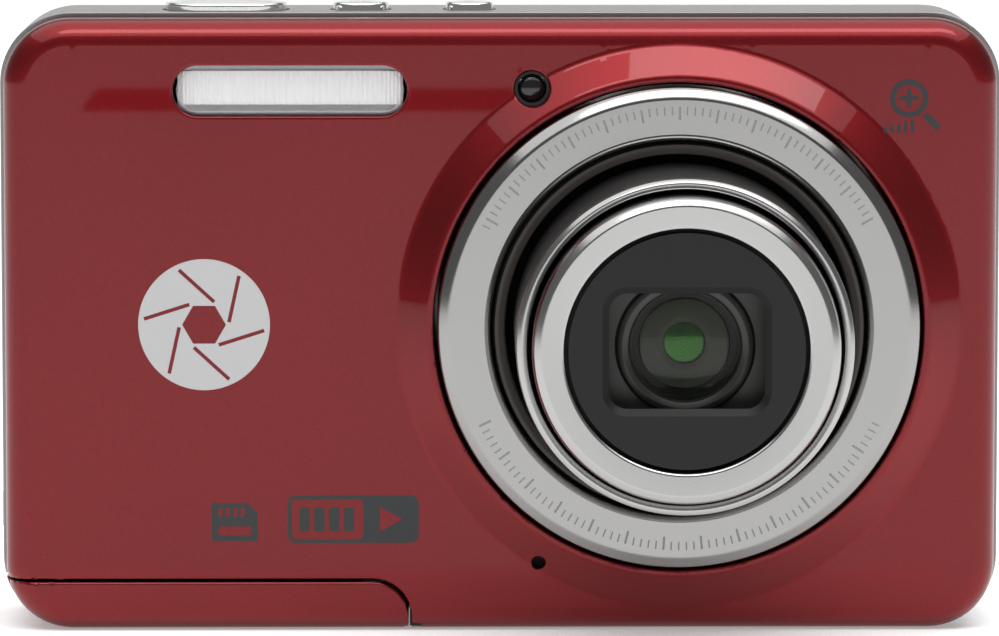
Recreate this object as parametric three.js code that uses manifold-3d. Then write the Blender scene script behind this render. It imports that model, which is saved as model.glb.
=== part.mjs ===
// A compact digital camera with its zoom lens run out, modelled piece by piece.
// Millimetres. +Z is up, the lens looks along -Y, and +X is to the right as seen from the front.
// The origin is the centre of the flat bottom, half way between the front and the rear face.
import * as THREE from "three";
import { mergeVertices } from "three/addons/utils/BufferGeometryUtils.js";
import Module from "manifold-3d";

const wasm = await Module();
wasm.setup();

// ---------------------------------------------------------------- driving dimensions

// Body shell
const bodyWidth = 91.5;
const bodyHeight = 56.5;
const bodyDepth = 18.6;
const bodyCorner = 6.5; // corner radius of the outline
const wall = 1.2;
const seam = 0.3; // gap between neighbouring shell pieces and round what is set into them
const frontInset = 0.4; // the front cover is this much slimmer at the sides and the top
const frontRound = 2.4;
const rearRound = 1.8;
const bandFront = 4.7; // depth of the front cover, front face to seam
const bandRear = 3.7; // depth of the rear cover

// Lens: the axis is measured from the right end and from the bottom
const lensFromRight = 29.6;
const lensHeight = 28.2;
const moundWidth = 3.65;
const moundRise = 2.1;
const bezelRise = 3.6; // bezel front, ahead of the front face
const bezelWidth = 4.9;
const collarWidth = 1.2;
const collarGap = 0.85; // open ring between the collar and the outer barrel
const collarSink = 0.5;
const barrelRadius = 15;
const barrelWall = 1.05;
const barrelRun = 0.35; // radial clearance between barrels
const barrelTravel = 16;
const innerTravel = 3.2;
const faceRim = 3.15; // the inner barrel's silver rim round the face plate
const portSideMargin = 3.6; // from the rectangular opening to the face plate's edge, beside it
const portTopMargin = 5.35; // and above it
const portCorner = 1.6;
const bladeThick = 0.4;
const cellSink = 4.7; // front lens rim, behind the face plate
const lensRimRadius = 6.05;
const lensGlassRadius = 4.7;
const sensorWidth = 11;
const sensorHeight = 9;

// Zoom drive
const gearModule = 0.7;
const camRim = 1.4; // cam ring's outside to its pitch circle
const driveTeeth = 14;
const pinionTeeth = 8;
const gearWidth = 2.8;
const gearSlack = 0.25; // added to each gear centre distance
const camTurn = 90; // degrees for the full zoom travel
const driveAngle = -52;
const pinionAngle = 25;
const motorRadius = 2.8;
const motorLength = 8;

// Front face fittings
const flashWidth = 21.3;
const flashHeight = 4.6;
const flashFromLeft = 26.6;
const flashFromTop = 6.9;
const lampRadius = 1.6;
const lampFromRight = 42.9;
const lampFromTop = 6.7;
const micRadius = 0.58;
const micFromRight = 42.3;
const micHeight = 6.4;

// Top deck buttons: centre from the left end, width
const shutterFromLeft = 20.55;
const shutterWidth = 11.2;
const shutterDepth = 7.4;
const powerFromLeft = 32.95;
const powerWidth = 5.1;
const modeFromLeft = 42.95;
const modeWidth = 4.4;
const topProud = 0.7;
const pressTravel = 0.4;

// Rear face fittings
const screenWidth = 57;
const screenHeight = 44;
const screenFromRight = 31.2;
const rearProud = 0.5;
const padRadius = 8.5;
const padFromLeft = 15.2;
const padHeight = 25;
const setRadius = 3.6;
const keyRadius = 2.6;
const keySpread = 6.6; // half the distance between the two columns of keys
const keyRise = 14.4; // keys above and below the pad
const rockerWidth = 14;
const rockerHeight = 4.4;
const rockerFromTop = 7.2;

// Battery, card and their door
const doorWidth = 37.3; // from the left end
const doorLip = 4.55; // height of the lip on the front
const doorCorner = 3.3;

const hingePinRadius = 0.5;
const knuckleRadius = 1;
const batteryWidth = 28;
const batteryHeight = 40;
const batteryThick = 6.3;
const batteryFromLeft = 3.25;
const cardWidth = 24;
const cardHeight = 32;
const cardThick = 2.1;

// Side fittings
const portCoverHeight = 12;
const portCoverDepth = 6.6;
const portCoverThick = 0.9;
const portCoverZ = 35;
const strapZ = 10.4;
const strapHeight = 3.1;
const speakerZ = 38.6;
const slotCount = 6;
const slotPitch = 0.9;
const slotHeight = 0.4;

// Tripod nut: a 1/4 inch thread, drawn at its major diameter
const tripodRadius = 3.1;
const tripodDepth = 5.2;
const tripodX = 8;
const nutRadius = 4.5;

const screwHead = 1.4;
const screwShank = 0.7;
const screwLength = 3.4;

// ---------------------------------------------------------------- places that follow from them

const left = -bodyWidth / 2;
const right = bodyWidth / 2;
const frontY = -bodyDepth / 2;
const rearY = bodyDepth / 2;
const bandY0 = frontY + bandFront;
const bandY1 = rearY - bandRear;
const bandMid = (bandY0 + bandY1) / 2;
const lensX = right - lensFromRight;
const collarInner = barrelRadius + collarGap;
const bezelInner = collarInner + collarWidth;
const bezelRadius = bezelInner + bezelWidth;
const moundRadius = bezelRadius + moundWidth;
const bezelY = frontY - bezelRise;
const doorX = left + doorWidth;
const BIG = 400; // longer than the camera in every direction

// ---------------------------------------------------------------- helpers

// A closed manifold solid from a three.js geometry, with its faces turned outwards.
function solid(geometry) {
  const bare = geometry.index ? geometry.toNonIndexed() : geometry.clone();
  bare.deleteAttribute("normal");
  bare.deleteAttribute("uv");
  const merged = mergeVertices(bare, 1e-4);
  const corners = merged.index.array;
  const kept = [];
  for (let i = 0; i < corners.length; i += 3) {
    const [a, b, c] = corners.slice(i, i + 3);
    if (a !== b && b !== c && c !== a) kept.push(a, b, c);
  }
  const vertProperties = merged.attributes.position.array;
  const build = (triVerts) =>
    new wasm.Manifold(new wasm.Mesh({ numProp: 3, vertProperties, triVerts: new Uint32Array(triVerts) }));
  const made = build(kept);
  return made.volume() > 0 ? made : build(kept.reverse());
}

function geometryOf(body) {
  const { vertProperties, triVerts } = body.getMesh();
  const geometry = new THREE.BufferGeometry();
  geometry.setAttribute("position", new THREE.BufferAttribute(new Float32Array(vertProperties), 3));
  geometry.setIndex(new THREE.BufferAttribute(new Uint32Array(triVerts), 1));
  const flat = geometry.toNonIndexed();
  flat.computeVertexNormals();
  return flat;
}

const join = (first, ...rest) => rest.reduce((sum, other) => sum.add(other), first);
const cut = (first, ...rest) => rest.reduce((sum, other) => sum.subtract(other), first);

function box(x0, x1, y0, y1, z0, z1) {
  const geometry = new THREE.BoxGeometry(x1 - x0, y1 - y0, z1 - z0);
  return solid(geometry.translate((x0 + x1) / 2, (y0 + y1) / 2, (z0 + z1) / 2));
}

// Outlines are drawn looking along +Y from the front: shape x is X, shape y is Z.
function roundedOutline(width, height, radius, cx = 0, cz = 0) {
  const x0 = cx - width / 2;
  const x1 = cx + width / 2;
  const z0 = cz - height / 2;
  const z1 = cz + height / 2;
  const shape = new THREE.Shape();
  shape.absarc(x1 - radius, z0 + radius, radius, -Math.PI / 2, 0);
  shape.absarc(x1 - radius, z1 - radius, radius, 0, Math.PI / 2);
  shape.absarc(x0 + radius, z1 - radius, radius, Math.PI / 2, Math.PI);
  shape.absarc(x0 + radius, z0 + radius, radius, Math.PI, 1.5 * Math.PI);
  return shape;
}

function prismY(shape, y0, y1, curveSegments = 5) {
  const geometry = new THREE.ExtrudeGeometry(shape, { depth: y1 - y0, bevelEnabled: false, curveSegments });
  return solid(geometry.rotateX(Math.PI / 2).translate(0, y1, 0));
}

// The same, with both rims rounded over.
function pillowY(width, height, radius, cx, cz, y0, y1, round, bevelSegments = 3) {
  const shape = roundedOutline(width - 2 * round, height - 2 * round, radius - round, cx, cz);
  const geometry = new THREE.ExtrudeGeometry(shape, {
    depth: y1 - y0 - 2 * round,
    bevelSize: round,
    bevelThickness: round,
    bevelSegments,
    curveSegments: 4,
  });
  return solid(geometry.rotateX(Math.PI / 2).translate(0, y1 - round, 0));
}

// A shape drawn in X and Y, raised along Z.
function prismZ(shape, z0, z1, curveSegments = 4) {
  const geometry = new THREE.ExtrudeGeometry(shape, { depth: z1 - z0, bevelEnabled: false, curveSegments });
  return solid(geometry.translate(0, 0, z0));
}

function rodX(radius, x0, x1, y, z, sides = 12) {
  const geometry = new THREE.CylinderGeometry(radius, radius, x1 - x0, sides).rotateZ(Math.PI / 2);
  return solid(geometry.translate((x0 + x1) / 2, y, z));
}

function rodY(radius, x, y0, y1, z, sides = 14) {
  return solid(new THREE.CylinderGeometry(radius, radius, y1 - y0, sides).translate(x, (y0 + y1) / 2, z));
}

function rodZ(radius, x, y, z0, z1, sides = 16) {
  const geometry = new THREE.CylinderGeometry(radius, radius, z1 - z0, sides).rotateX(Math.PI / 2);
  return solid(geometry.translate(x, y, (z0 + z1) / 2));
}

// A turned piece on an axis along Y: the profile is a list of [radius, y].
function turned(profile, x, z, sides = 28) {
  const points = profile.map(([radius, y]) => new THREE.Vector2(radius, y));
  if (profile[0][0] > 0) points.push(points[0].clone());
  return solid(new THREE.LatheGeometry(points, sides).translate(x, 0, z));
}

const ringY = (outer, inner, y0, y1, x, z, sides = 28) =>
  turned([[inner, y0], [outer, y0], [outer, y1], [inner, y1]], x, z, sides);

// An external gear, or a sector of one: teeth are centred on `phase` plus whole pitches.
function toothed(teeth, phase, firstTooth, lastTooth, x, z, y0, y1) {
  const radius = (gearModule * teeth) / 2;
  const pitch = (2 * Math.PI) / teeth;
  const root = radius - 1.1 * gearModule;
  const tip = radius + 0.9 * gearModule;
  const shape = new THREE.Shape();
  const at = (angle, r) => [x + r * Math.cos(angle), z + r * Math.sin(angle)];
  shape.moveTo(...at(phase + (firstTooth - 0.25) * pitch, root));
  for (let tooth = firstTooth; tooth <= lastTooth; tooth += 1) {
    const middle = phase + tooth * pitch;
    shape.lineTo(...at(middle - 0.23 * pitch, root));
    shape.lineTo(...at(middle - 0.1 * pitch, tip));
    shape.lineTo(...at(middle + 0.1 * pitch, tip));
    shape.lineTo(...at(middle + 0.23 * pitch, root));
  }
  if (lastTooth - firstTooth < teeth - 1) shape.lineTo(x, z);
  return prismY(shape, y0, y1);
}

const root = new THREE.Group();

function piece(name, body, color, roughness, metalness = 0) {
  const material = new THREE.MeshStandardMaterial({ color, roughness, metalness });
  const mesh = new THREE.Mesh(geometryOf(body), material);
  mesh.name = name;
  root.add(mesh);
}

// ---------------------------------------------------------------- colours

const RED = 0xa52b33;
const DECK_GREY = 0x9a9693;
const SILVER = 0xc4c1be;
const CHROME = 0xe2e1df;
const BLACK = 0x1d1c1c;
const DARK = 0x3b3734;
const GLASS = 0x4a5a4c;
const STEEL = 0x8f9194;
const BOARD = 0x1f5c3a;
const BRASS = 0xb08d57;

// ---------------------------------------------------------------- body shell

// The hollow of a cover or the band, `wall` inside the outline.
function shellHollow(width, height, round, y0, y1, cz) {
  const inner = Math.max(bodyCorner - wall, 1);
  return pillowY(width - 2 * wall, height - 2 * wall, inner, 0, cz, y0, y1, Math.max(round - wall, 0.3), 2);
}

// What the battery door takes out of the covers. It is concentric with the hinge at its inner top corner.
function doorSpace(gap, y0, y1) {
  const outline = new THREE.Shape();
  outline.moveTo(left - 10, -10);
  outline.lineTo(doorX + gap, -10);
  outline.absarc(doorX - doorCorner, doorLip - doorCorner, doorCorner + gap, 0, Math.PI / 2);
  outline.lineTo(left - 10, doorLip + gap);
  return prismY(outline, y0, y1);
}

const frontHeight = bodyHeight - frontInset;
const frontWidth = bodyWidth - 2 * frontInset;
const frontCorner = bodyCorner - frontInset;
const flashX = left + flashFromLeft;
const flashZ = bodyHeight - flashFromTop;
const lampX = right - lampFromRight;
const lampZ = bodyHeight - lampFromTop;
const micX = right - micFromRight;
const moundTop = frontY - moundRise;
const lensHoleRadius = bezelRadius + seam;

function frontShell() {
  const slabZ = frontHeight / 2;
  const slab = pillowY(frontWidth, frontHeight, frontCorner, 0, slabZ, frontY, bandY1, frontRound);
  const mound = turned(
    [
      [0, frontY + wall],
      [moundRadius, frontY + wall],
      [moundRadius, frontY],
      [moundRadius - 0.7, frontY - 0.25],
      [lensHoleRadius + 1.5, moundTop + 0.3],
      [lensHoleRadius + 0.6, moundTop],
      [0, moundTop],
    ],
    lensX,
    lensHeight,
    32,
  );
  const flat = frontRound - 0.2;
  const face = roundedOutline(frontWidth - 2 * flat, frontHeight - 2 * flat, frontCorner - flat, 0, slabZ);
  const hollow = shellHollow(frontWidth, frontHeight, frontRound, frontY + wall, BIG, slabZ);
  const raised = mound.intersect(prismY(face, -BIG / 2, BIG / 2));
  return cut(join(slab, raised), hollow, box(-BIG, BIG, bandY0 - seam, BIG, -BIG, BIG));
}

const outerFront = frontShell();
const flashHole = roundedOutline(flashWidth, flashHeight, flashHeight / 2 - 0.01, flashX, flashZ);
piece(
  "front_cover",
  cut(
    outerFront,
    rodY(lensHoleRadius, lensX, -BIG / 2, BIG / 2, lensHeight, 32),
    prismY(flashHole, frontY - 5, frontY + 5),
    rodY(lampRadius, lampX, frontY - 5, frontY + 5, lampZ, 14),
    rodY(micRadius, micX, frontY - 5, frontY + 5, micHeight, 8),
    doorSpace(seam, frontY - 5, bandY0),
  ),
  RED,
  0.35,
  0.35,
);

// Side and bottom screws: [name, axis, position along the body, height or nothing]
const screwSpots = [
  ["screw_bottom_inner", "down", right - 25.7, 0],
  ["screw_bottom_outer", "down", right - 7.7, 0],
  ["screw_right_end", "right", right, bodyHeight - 9],
];

// The hole for a screw, or the screw itself when `grow` is 0.
function screwBody([, way, along, height], grow) {
  const head = screwHead + grow;
  const shank = screwShank + grow;
  const sunk = 0.1;
  const seat = sunk + 0.5 + grow / 3;
  if (way === "down") {
    const headBody = rodZ(head, along, bandMid, grow ? -5 : sunk, seat, 14);
    return headBody.add(rodZ(shank, along, bandMid, sunk, grow ? 5 : screwLength, 10));
  }
  const inwards = way === "left" ? 1 : -1;
  const spanX = (a, b) => [along + inwards * a, along + inwards * b].sort((p, q) => p - q);
  const headBody = rodX(head, ...spanX(grow ? -5 : sunk, seat), bandMid, height, 14);
  return headBody.add(rodX(shank, ...spanX(sunk, grow ? 5 : screwLength), bandMid, height, 10));
}

const topButtons = [
  ["shutter_button", left + shutterFromLeft, shutterWidth, shutterDepth],
  ["power_button", left + powerFromLeft, powerWidth, powerWidth],
  ["mode_button", left + modeFromLeft, modeWidth, modeWidth],
];
const topOutline = (x, width, depth, grow) =>
  roundedOutline(width + 2 * grow, depth + 2 * grow, Math.min(width, depth) / 2 + grow - 0.01, x, bandMid);

const speakerX0 = left + wall + 0.3;
const speakerX1 = speakerX0 + 1.5;
const portCoverY1 = bandY1 - 1;
const portCoverY0 = portCoverY1 - portCoverDepth;
const speakerY0 = 1.9;
const speakerY1 = 4.2;
const strapY0 = -1.4;
const strapY1 = 2.6;

function bodyBand() {
  const outline = roundedOutline(bodyWidth, bodyHeight, bodyCorner, 0, bodyHeight / 2);
  const innerCorner = bodyCorner - wall;
  const inside = roundedOutline(bodyWidth - 2 * wall, bodyHeight - 2 * wall, innerCorner, 0, bodyHeight / 2);
  const ring = cut(prismY(outline, bandY0, bandY1), prismY(inside, -BIG / 2, BIG / 2));
  const buttonHoles = topButtons.map(([, x, width, depth]) =>
    prismZ(topOutline(x, width, depth, seam), bodyHeight - 3, bodyHeight + 3, 3),
  );
  const slots = [];
  for (let i = 0; i < slotCount; i += 1) {
    const z = speakerZ + (i - (slotCount - 1) / 2) * slotPitch;
    slots.push(box(left - 1, left + 2, speakerY0, speakerY1, z - slotHeight / 2, z + slotHeight / 2));
  }
  const portGap = portCoverHeight / 2 + seam;
  const strapGap = strapHeight / 2 + seam;
  return cut(
    ring,
    ...buttonHoles,
    ...slots,
    ...screwSpots.map((spot) => screwBody(spot, seam)),
    doorSpace(seam, bandY0 - 1, bandY1 + 1),
    box(right - 2, BIG, portCoverY0 - seam, portCoverY1 + seam, portCoverZ - portGap, portCoverZ + portGap),
    box(left - 1, left + 2, strapY0 - seam, strapY1 + seam, strapZ - strapGap, strapZ + strapGap),
    rodZ(nutRadius + seam, tripodX, bandMid, -2, wall + 1, 24),
  );
}
piece("body_band", bodyBand(), DECK_GREY, 0.4, 0.6);

// Rear controls
const padX = left + padFromLeft;
const rockerZ = bodyHeight - rockerFromTop;
const keys = [
  ["record_button", padX + keySpread + 5.4, rockerZ],
  ["menu_button", padX - keySpread, padHeight + keyRise],
  ["play_button", padX + keySpread, padHeight + keyRise],
  ["info_button", padX - keySpread, padHeight - keyRise],
  ["delete_button", padX + keySpread, padHeight - keyRise],
];
const rockerX = padX - 2.4;
const rockerOutline = (grow) => {
  const height = rockerHeight + 2 * grow;
  return roundedOutline(rockerWidth + 2 * grow, height, height / 2 - 0.01, rockerX, rockerZ);
};
const screenX = right - screenFromRight;
const screenZ = bodyHeight / 2;

function rearCover() {
  const slab = pillowY(bodyWidth, bodyHeight, bodyCorner, 0, bodyHeight / 2, bandY0, rearY, rearRound);
  const hollow = shellHollow(bodyWidth, bodyHeight, rearRound, -BIG, rearY - wall, bodyHeight / 2);
  const screen = roundedOutline(screenWidth + 2 * seam, screenHeight + 2 * seam, 1.5, screenX, screenZ);
  return cut(
    slab,
    hollow,
    box(-BIG, BIG, -BIG, bandY1 + seam, -BIG, BIG),
    prismY(screen, rearY - 3, rearY + 3),
    rodY(padRadius + seam, padX, rearY - 3, rearY + 3, padHeight, 20),
    prismY(rockerOutline(seam), rearY - 3, rearY + 3),
    ...keys.map(([, x, z]) => rodY(keyRadius + seam, x, rearY - 3, rearY + 3, z)),
  );
}
piece("rear_cover", rearCover(), DECK_GREY, 0.45, 0.5);

// ---------------------------------------------------------------- battery door and what it covers

const hingeX = doorX - doorCorner;
const hingeZ = doorLip - doorCorner;
const lugWidth = 2;
const lugs = [
  [bandY0 - 1.9, bandY0 - 1.9 + lugWidth],
  [bandY1 - 3.1, bandY1 - 3.1 + lugWidth],
];
const pinEnd = 0.3;
const plateZ0 = doorLip + 0.65;
const plateZ1 = plateZ0 + 0.6;

function batteryDoor() {
  const slabZ = frontHeight / 2;
  const outside = pillowY(frontWidth, frontHeight, frontCorner, 0, slabZ, frontY, BIG / 8, frontRound);
  const frontPart = cut(outside, box(-BIG, BIG, bandY0 - seam / 2, BIG, -BIG, BIG));
  const outline = roundedOutline(bodyWidth, bodyHeight, bodyCorner, 0, bodyHeight / 2);
  const whole = join(frontPart, prismY(outline, bandY0 - seam, bandY1));
  const frontHollow = shellHollow(frontWidth, frontHeight, frontRound, frontY + wall, BIG, slabZ);
  const skin = cut(whole, frontHollow).intersect(doorSpace(0, frontY - 5, bandY1));
  const knuckle = rodY(knuckleRadius, hingeX, lugs[0][1] + seam, lugs[1][0] - seam, hingeZ, 16);
  const notches = lugs.map(([y0, y1]) => box(hingeX - 1.5, BIG, y0 - seam, y1 + seam, -BIG, BIG));
  return cut(
    join(skin, knuckle),
    ...notches,
    rodY(hingePinRadius + 0.25, hingeX, lugs[0][0] - 1, lugs[1][1] + 1, hingeZ, 12),
  );
}
piece("battery_door", batteryDoor(), RED, 0.4, 0.3);

piece(
  "door_hinge_pin",
  rodY(hingePinRadius, hingeX, lugs[0][0] - pinEnd, lugs[1][1] + pinEnd, hingeZ, 12),
  STEEL,
  0.3,
  1,
);

function hingeSlider() {
  const lugX0 = hingeX - 0.9;
  const lugX1 = hingeX + 0.9;
  const plate = box(lugX0, doorX - 0.4, lugs[0][0], lugs[1][1], plateZ0, plateZ1);
  const arms = lugs.map(([y0, y1]) =>
    join(box(lugX0, lugX1, y0, y1, hingeZ, plateZ0 + 0.1), rodY(0.9, hingeX, y0, y1, hingeZ, 12)),
  );
  return cut(join(plate, ...arms), rodY(hingePinRadius + 0.15, hingeX, -BIG / 2, BIG / 2, hingeZ, 12));
}
piece("door_hinge_slider", hingeSlider(), STEEL, 0.35, 1);

// Chassis: the battery's box, open at the bottom, with a shelf that the hinge slider runs under
const batteryX0 = left + batteryFromLeft;
const batteryX1 = batteryX0 + batteryWidth;
const batteryZ0 = 3.6;
const batteryY0 = frontY + wall + 1.8;
const batteryY1 = batteryY0 + batteryThick;
const boxWall = 0.7;
const chassisZ0 = plateZ1 + seam;
const chassisZ1 = batteryZ0 + batteryHeight + seam + boxWall;
const chassisY0 = batteryY0 - seam - boxWall;
const chassisY1 = batteryY1 + seam + boxWall;

function chassis() {
  const x0 = batteryX0 - seam - boxWall;
  const x1 = batteryX1 + seam + boxWall;
  const outer = box(x0, x1, chassisY0, chassisY1, chassisZ0, chassisZ1);
  const shelf = box(x1 - boxWall, doorX + 1.5, chassisY0, chassisY1, chassisZ0, chassisZ0 + 1);
  const wing = box(x1 - boxWall, doorX + 1.5, chassisY1 - 1, chassisY1, chassisZ0, chassisZ1);
  const bayTop = chassisZ1 - boxWall;
  const bay = box(batteryX0 - seam, batteryX1 + seam, batteryY0 - seam, batteryY1 + seam, -5, bayTop);
  return cut(join(outer, shelf, wing), bay);
}
piece("chassis", chassis(), 0x2a2b2d, 0.6);

const batteryX = batteryX0 + batteryWidth / 2;
const batteryZ = batteryZ0 + batteryHeight / 2;
const batteryOutline = roundedOutline(batteryWidth, batteryHeight, 1, batteryX, batteryZ);
piece("battery", prismY(batteryOutline, batteryY0, batteryY1, 3), 0x2c2d30, 0.5);

const slotY0 = chassisY1 + seam;
const cardY0 = slotY0 + 0.5;
const cardY1 = cardY0 + cardThick;
const slotY1 = cardY1 + 0.5;
const cardX0 = batteryX0 + 2.4;
const cardX1 = cardX0 + cardWidth;
const cardZ0 = 4.4;

function memoryCard() {
  const notch = 4;
  const outline = new THREE.Shape();
  outline.moveTo(cardX0, cardZ0);
  outline.lineTo(cardX1, cardZ0);
  outline.lineTo(cardX1, cardZ0 + cardHeight);
  outline.lineTo(cardX0 + notch, cardZ0 + cardHeight);
  outline.lineTo(cardX0, cardZ0 + cardHeight - notch);
  return prismY(outline, cardY0, cardY1);
}
piece("memory_card", memoryCard(), 0x23344d, 0.45);

function cardSlot() {
  const side = 0.3 + seam;
  const outer = box(cardX0 - side, cardX1 + side, slotY0, slotY1, chassisZ0, cardZ0 + cardHeight + 2);
  const room = box(cardX0 - 0.3, cardX1 + 0.3, cardY0 - 0.25, cardY1 + 0.25, -5, cardZ0 + cardHeight + 0.5);
  return cut(outer, room);
}
piece("card_slot", cardSlot(), STEEL, 0.35, 1);

// ---------------------------------------------------------------- boards

const boardThick = 0.8;
const mainY0 = slotY1 + seam;
const mainBoardX1 = lensX - bezelRadius - 0.4;
const mainBoard = cut(
  box(speakerX1 + 0.4, mainBoardX1, mainY0, mainY0 + boardThick, chassisZ0, bodyHeight - 5),
  rodY(1.2, speakerX1 + 2.8, -BIG / 2, BIG / 2, bodyHeight - 8, 10),
);
piece("main_board", mainBoard, BOARD, 0.5);

const controlY1 = rearY - wall - 1.5;
const controlX1 = padX + keySpread + 9;
const controlBoard = box(left + 2.6, controlX1, controlY1 - 0.6, controlY1, 7.5, bodyHeight - 4.5);
piece("control_board", controlBoard, BOARD, 0.5);

// ---------------------------------------------------------------- lens unit

const baseY1 = rearY - wall - 1.9;
const baseY0 = baseY1 - 0.9;
const tubeInner = barrelRadius + 0.75;
const tubeOuter = bezelInner - 0.1;
const tubeY0 = bezelY + 1.9;
const barrelInner = barrelRadius - barrelWall;
const barrelY0 = bezelY - barrelTravel;
const barrelY1 = baseY0 - seam - barrelTravel;
const innerRadius = barrelInner - barrelRun;
const innerBore = innerRadius - 1.2;
const faceRadius = innerRadius - faceRim;
const portWidth = 2 * (faceRadius - portSideMargin);
const portHeight = 2 * (faceRadius - portTopMargin);
const innerY0 = barrelY0 - innerTravel;
const innerY1 = barrelY1 - innerTravel - 0.9;
const cellY0 = innerY0 + cellSink;

function lensBezel() {
  const chamfer = 0.7;
  return turned(
    [
      [bezelInner + 0.5, bezelY],
      [bezelRadius - chamfer, bezelY],
      [bezelRadius, bezelY + chamfer],
      [bezelRadius, frontY + wall],
      [bezelRadius - 1, frontY + wall],
      [bezelRadius - 1, bezelY + 1.6],
      [bezelInner + seam, bezelY + 1.6],
      [bezelInner, bezelY + collarSink],
    ],
    lensX,
    lensHeight,
    32,
  );
}
piece("lens_bezel", lensBezel(), SILVER, 0.3, 0.9);

const collarY0 = bezelY + collarSink;
const collar = ringY(bezelInner - seam, collarInner, collarY0, collarY0 + 1, lensX, lensHeight, 28);
piece("lens_collar", collar, DARK, 0.6);

piece("lens_tube", ringY(tubeOuter, tubeInner, tubeY0, baseY0 - seam, lensX, lensHeight, 28), BLACK, 0.6);

const baseRim = tubeOuter + 1.5;
const lensBase = cut(
  turned([[0, baseY0], [baseRim, baseY0], [baseRim, baseY1], [0, baseY1]], lensX, lensHeight, 28),
  box(
    lensX - sensorWidth / 2 - seam,
    lensX + sensorWidth / 2 + seam,
    -BIG,
    BIG,
    lensHeight - sensorHeight / 2 - seam,
    lensHeight + sensorHeight / 2 + seam,
  ),
);
piece("lens_base", lensBase, BLACK, 0.55);

const imageSensor = box(
  lensX - sensorWidth / 2,
  lensX + sensorWidth / 2,
  baseY0 - 0.5,
  baseY1 - 0.1,
  lensHeight - sensorHeight / 2,
  lensHeight + sensorHeight / 2,
);
piece("image_sensor", imageSensor, 0x2b3550, 0.2);

// Cam ring and its gear train
const camInner = tubeOuter + 0.35;
const camOuter = camInner + 0.9;
const camTeeth = Math.round((2 * (camOuter + camRim)) / gearModule);
const gearY1 = baseY0 - 1;
const gearY0 = gearY1 - gearWidth;
const camTooth = THREE.MathUtils.degToRad(driveAngle);
const camSector = Math.ceil((camTurn / 360) * camTeeth) + 1;

function camRing() {
  const sector = toothed(camTeeth, camTooth, -camSector, 1, lensX, lensHeight, gearY0, gearY1);
  const sleeve = rodY(camOuter, lensX, frontY + 1.6, gearY1 + 0.3, lensHeight, 32);
  return cut(join(sleeve, sector), rodY(camInner, lensX, -BIG / 2, BIG / 2, lensHeight, 32));
}
piece("cam_ring", camRing(), 0x4b4d50, 0.5, 0.3);

const driveDistance = (gearModule * (camTeeth + driveTeeth)) / 2 + gearSlack;
const driveX = lensX + driveDistance * Math.cos(camTooth);
const driveZ = lensHeight + driveDistance * Math.sin(camTooth);
const drivePitch = (2 * Math.PI) / driveTeeth;
const drivePhase = camTooth + Math.PI + drivePitch / 2;
const driveGear = cut(
  toothed(driveTeeth, drivePhase, 0, driveTeeth - 1, driveX, driveZ, gearY0, gearY1),
  rodY(0.85, driveX, -BIG / 2, BIG / 2, driveZ, 12),
);
piece("drive_gear", driveGear, 0xe8e2d0, 0.5);
piece("drive_gear_shaft", rodY(0.6, driveX, gearY0 - 2.5, baseY0 + 0.6, driveZ, 12), STEEL, 0.3, 1);

const pinionLine = THREE.MathUtils.degToRad(pinionAngle);
const pinionDistance = (gearModule * (driveTeeth + pinionTeeth)) / 2 + gearSlack;
const pinionX = driveX + pinionDistance * Math.cos(pinionLine);
const pinionZ = driveZ + pinionDistance * Math.sin(pinionLine);
// How far the nearest drive tooth stands past the line of centres, and the pinion gap that takes it
const pastLine = (((drivePhase - pinionLine) % drivePitch) + drivePitch) % drivePitch;
const pinionGap = pinionLine + Math.PI - (pastLine * driveTeeth) / pinionTeeth;
const motorPinion = toothed(
  pinionTeeth,
  pinionGap + Math.PI / pinionTeeth,
  0,
  pinionTeeth - 1,
  pinionX,
  pinionZ,
  gearY0,
  gearY1,
);
piece("motor_pinion", motorPinion, BRASS, 0.35, 1);
const motorY1 = gearY0 - 0.5;
piece("zoom_motor", rodY(motorRadius, pinionX, motorY1 - motorLength, motorY1, pinionZ, 20), STEEL, 0.35, 1);

// Barrels
const barrelOuter = ringY(barrelRadius, barrelInner, barrelY0, barrelY1, lensX, lensHeight, 32);
piece("barrel_outer", barrelOuter, SILVER, 0.25, 0.9);

function barrelInnerBody() {
  const chamfer = 0.5;
  return turned(
    [
      [faceRadius + seam, innerY0],
      [innerRadius - chamfer, innerY0],
      [innerRadius, innerY0 + chamfer],
      [innerRadius, innerY1],
      [innerBore, innerY1],
      [innerBore, innerY0 + 1.1],
      [faceRadius + seam, innerY0 + 1.1],
    ],
    lensX,
    lensHeight,
    32,
  );
}
piece("barrel_inner", barrelInnerBody(), SILVER, 0.25, 0.9);

const faceY0 = innerY0 + 0.15;
const facePlate = cut(
  rodY(faceRadius, lensX, faceY0, faceY0 + 0.9, lensHeight, 28),
  prismY(roundedOutline(portWidth, portHeight, portCorner, lensX, lensHeight), -BIG / 2, BIG / 2, 4),
);
piece("face_plate", facePlate, BLACK, 0.4);

// Barrier blades: flat leaves stowed above and below the opening
const bladeRadius = innerBore - 0.3;
const bladeTravel = portHeight / 2 + 0.1;
function blade(side, y0) {
  const inner = side * (bladeTravel + 0.1);
  const halfWidth = portWidth / 2 + 0.8;
  const leaf = rodY(bladeRadius, lensX, y0, y0 + bladeThick, lensHeight, 28);
  const z0 = lensHeight + Math.min(inner, side * BIG);
  const z1 = lensHeight + Math.max(inner, side * BIG);
  return leaf.intersect(box(lensX - halfWidth, lensX + halfWidth, y0 - 1, y0 + 1, z0, z1));
}
const bladeY0 = faceY0 + 0.9 + 0.3;
piece("blade_upper", blade(1, bladeY0), BLACK, 0.45, 0.4);
piece("blade_lower", blade(-1, bladeY0 + bladeThick + 0.3), BLACK, 0.45, 0.4);

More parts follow.
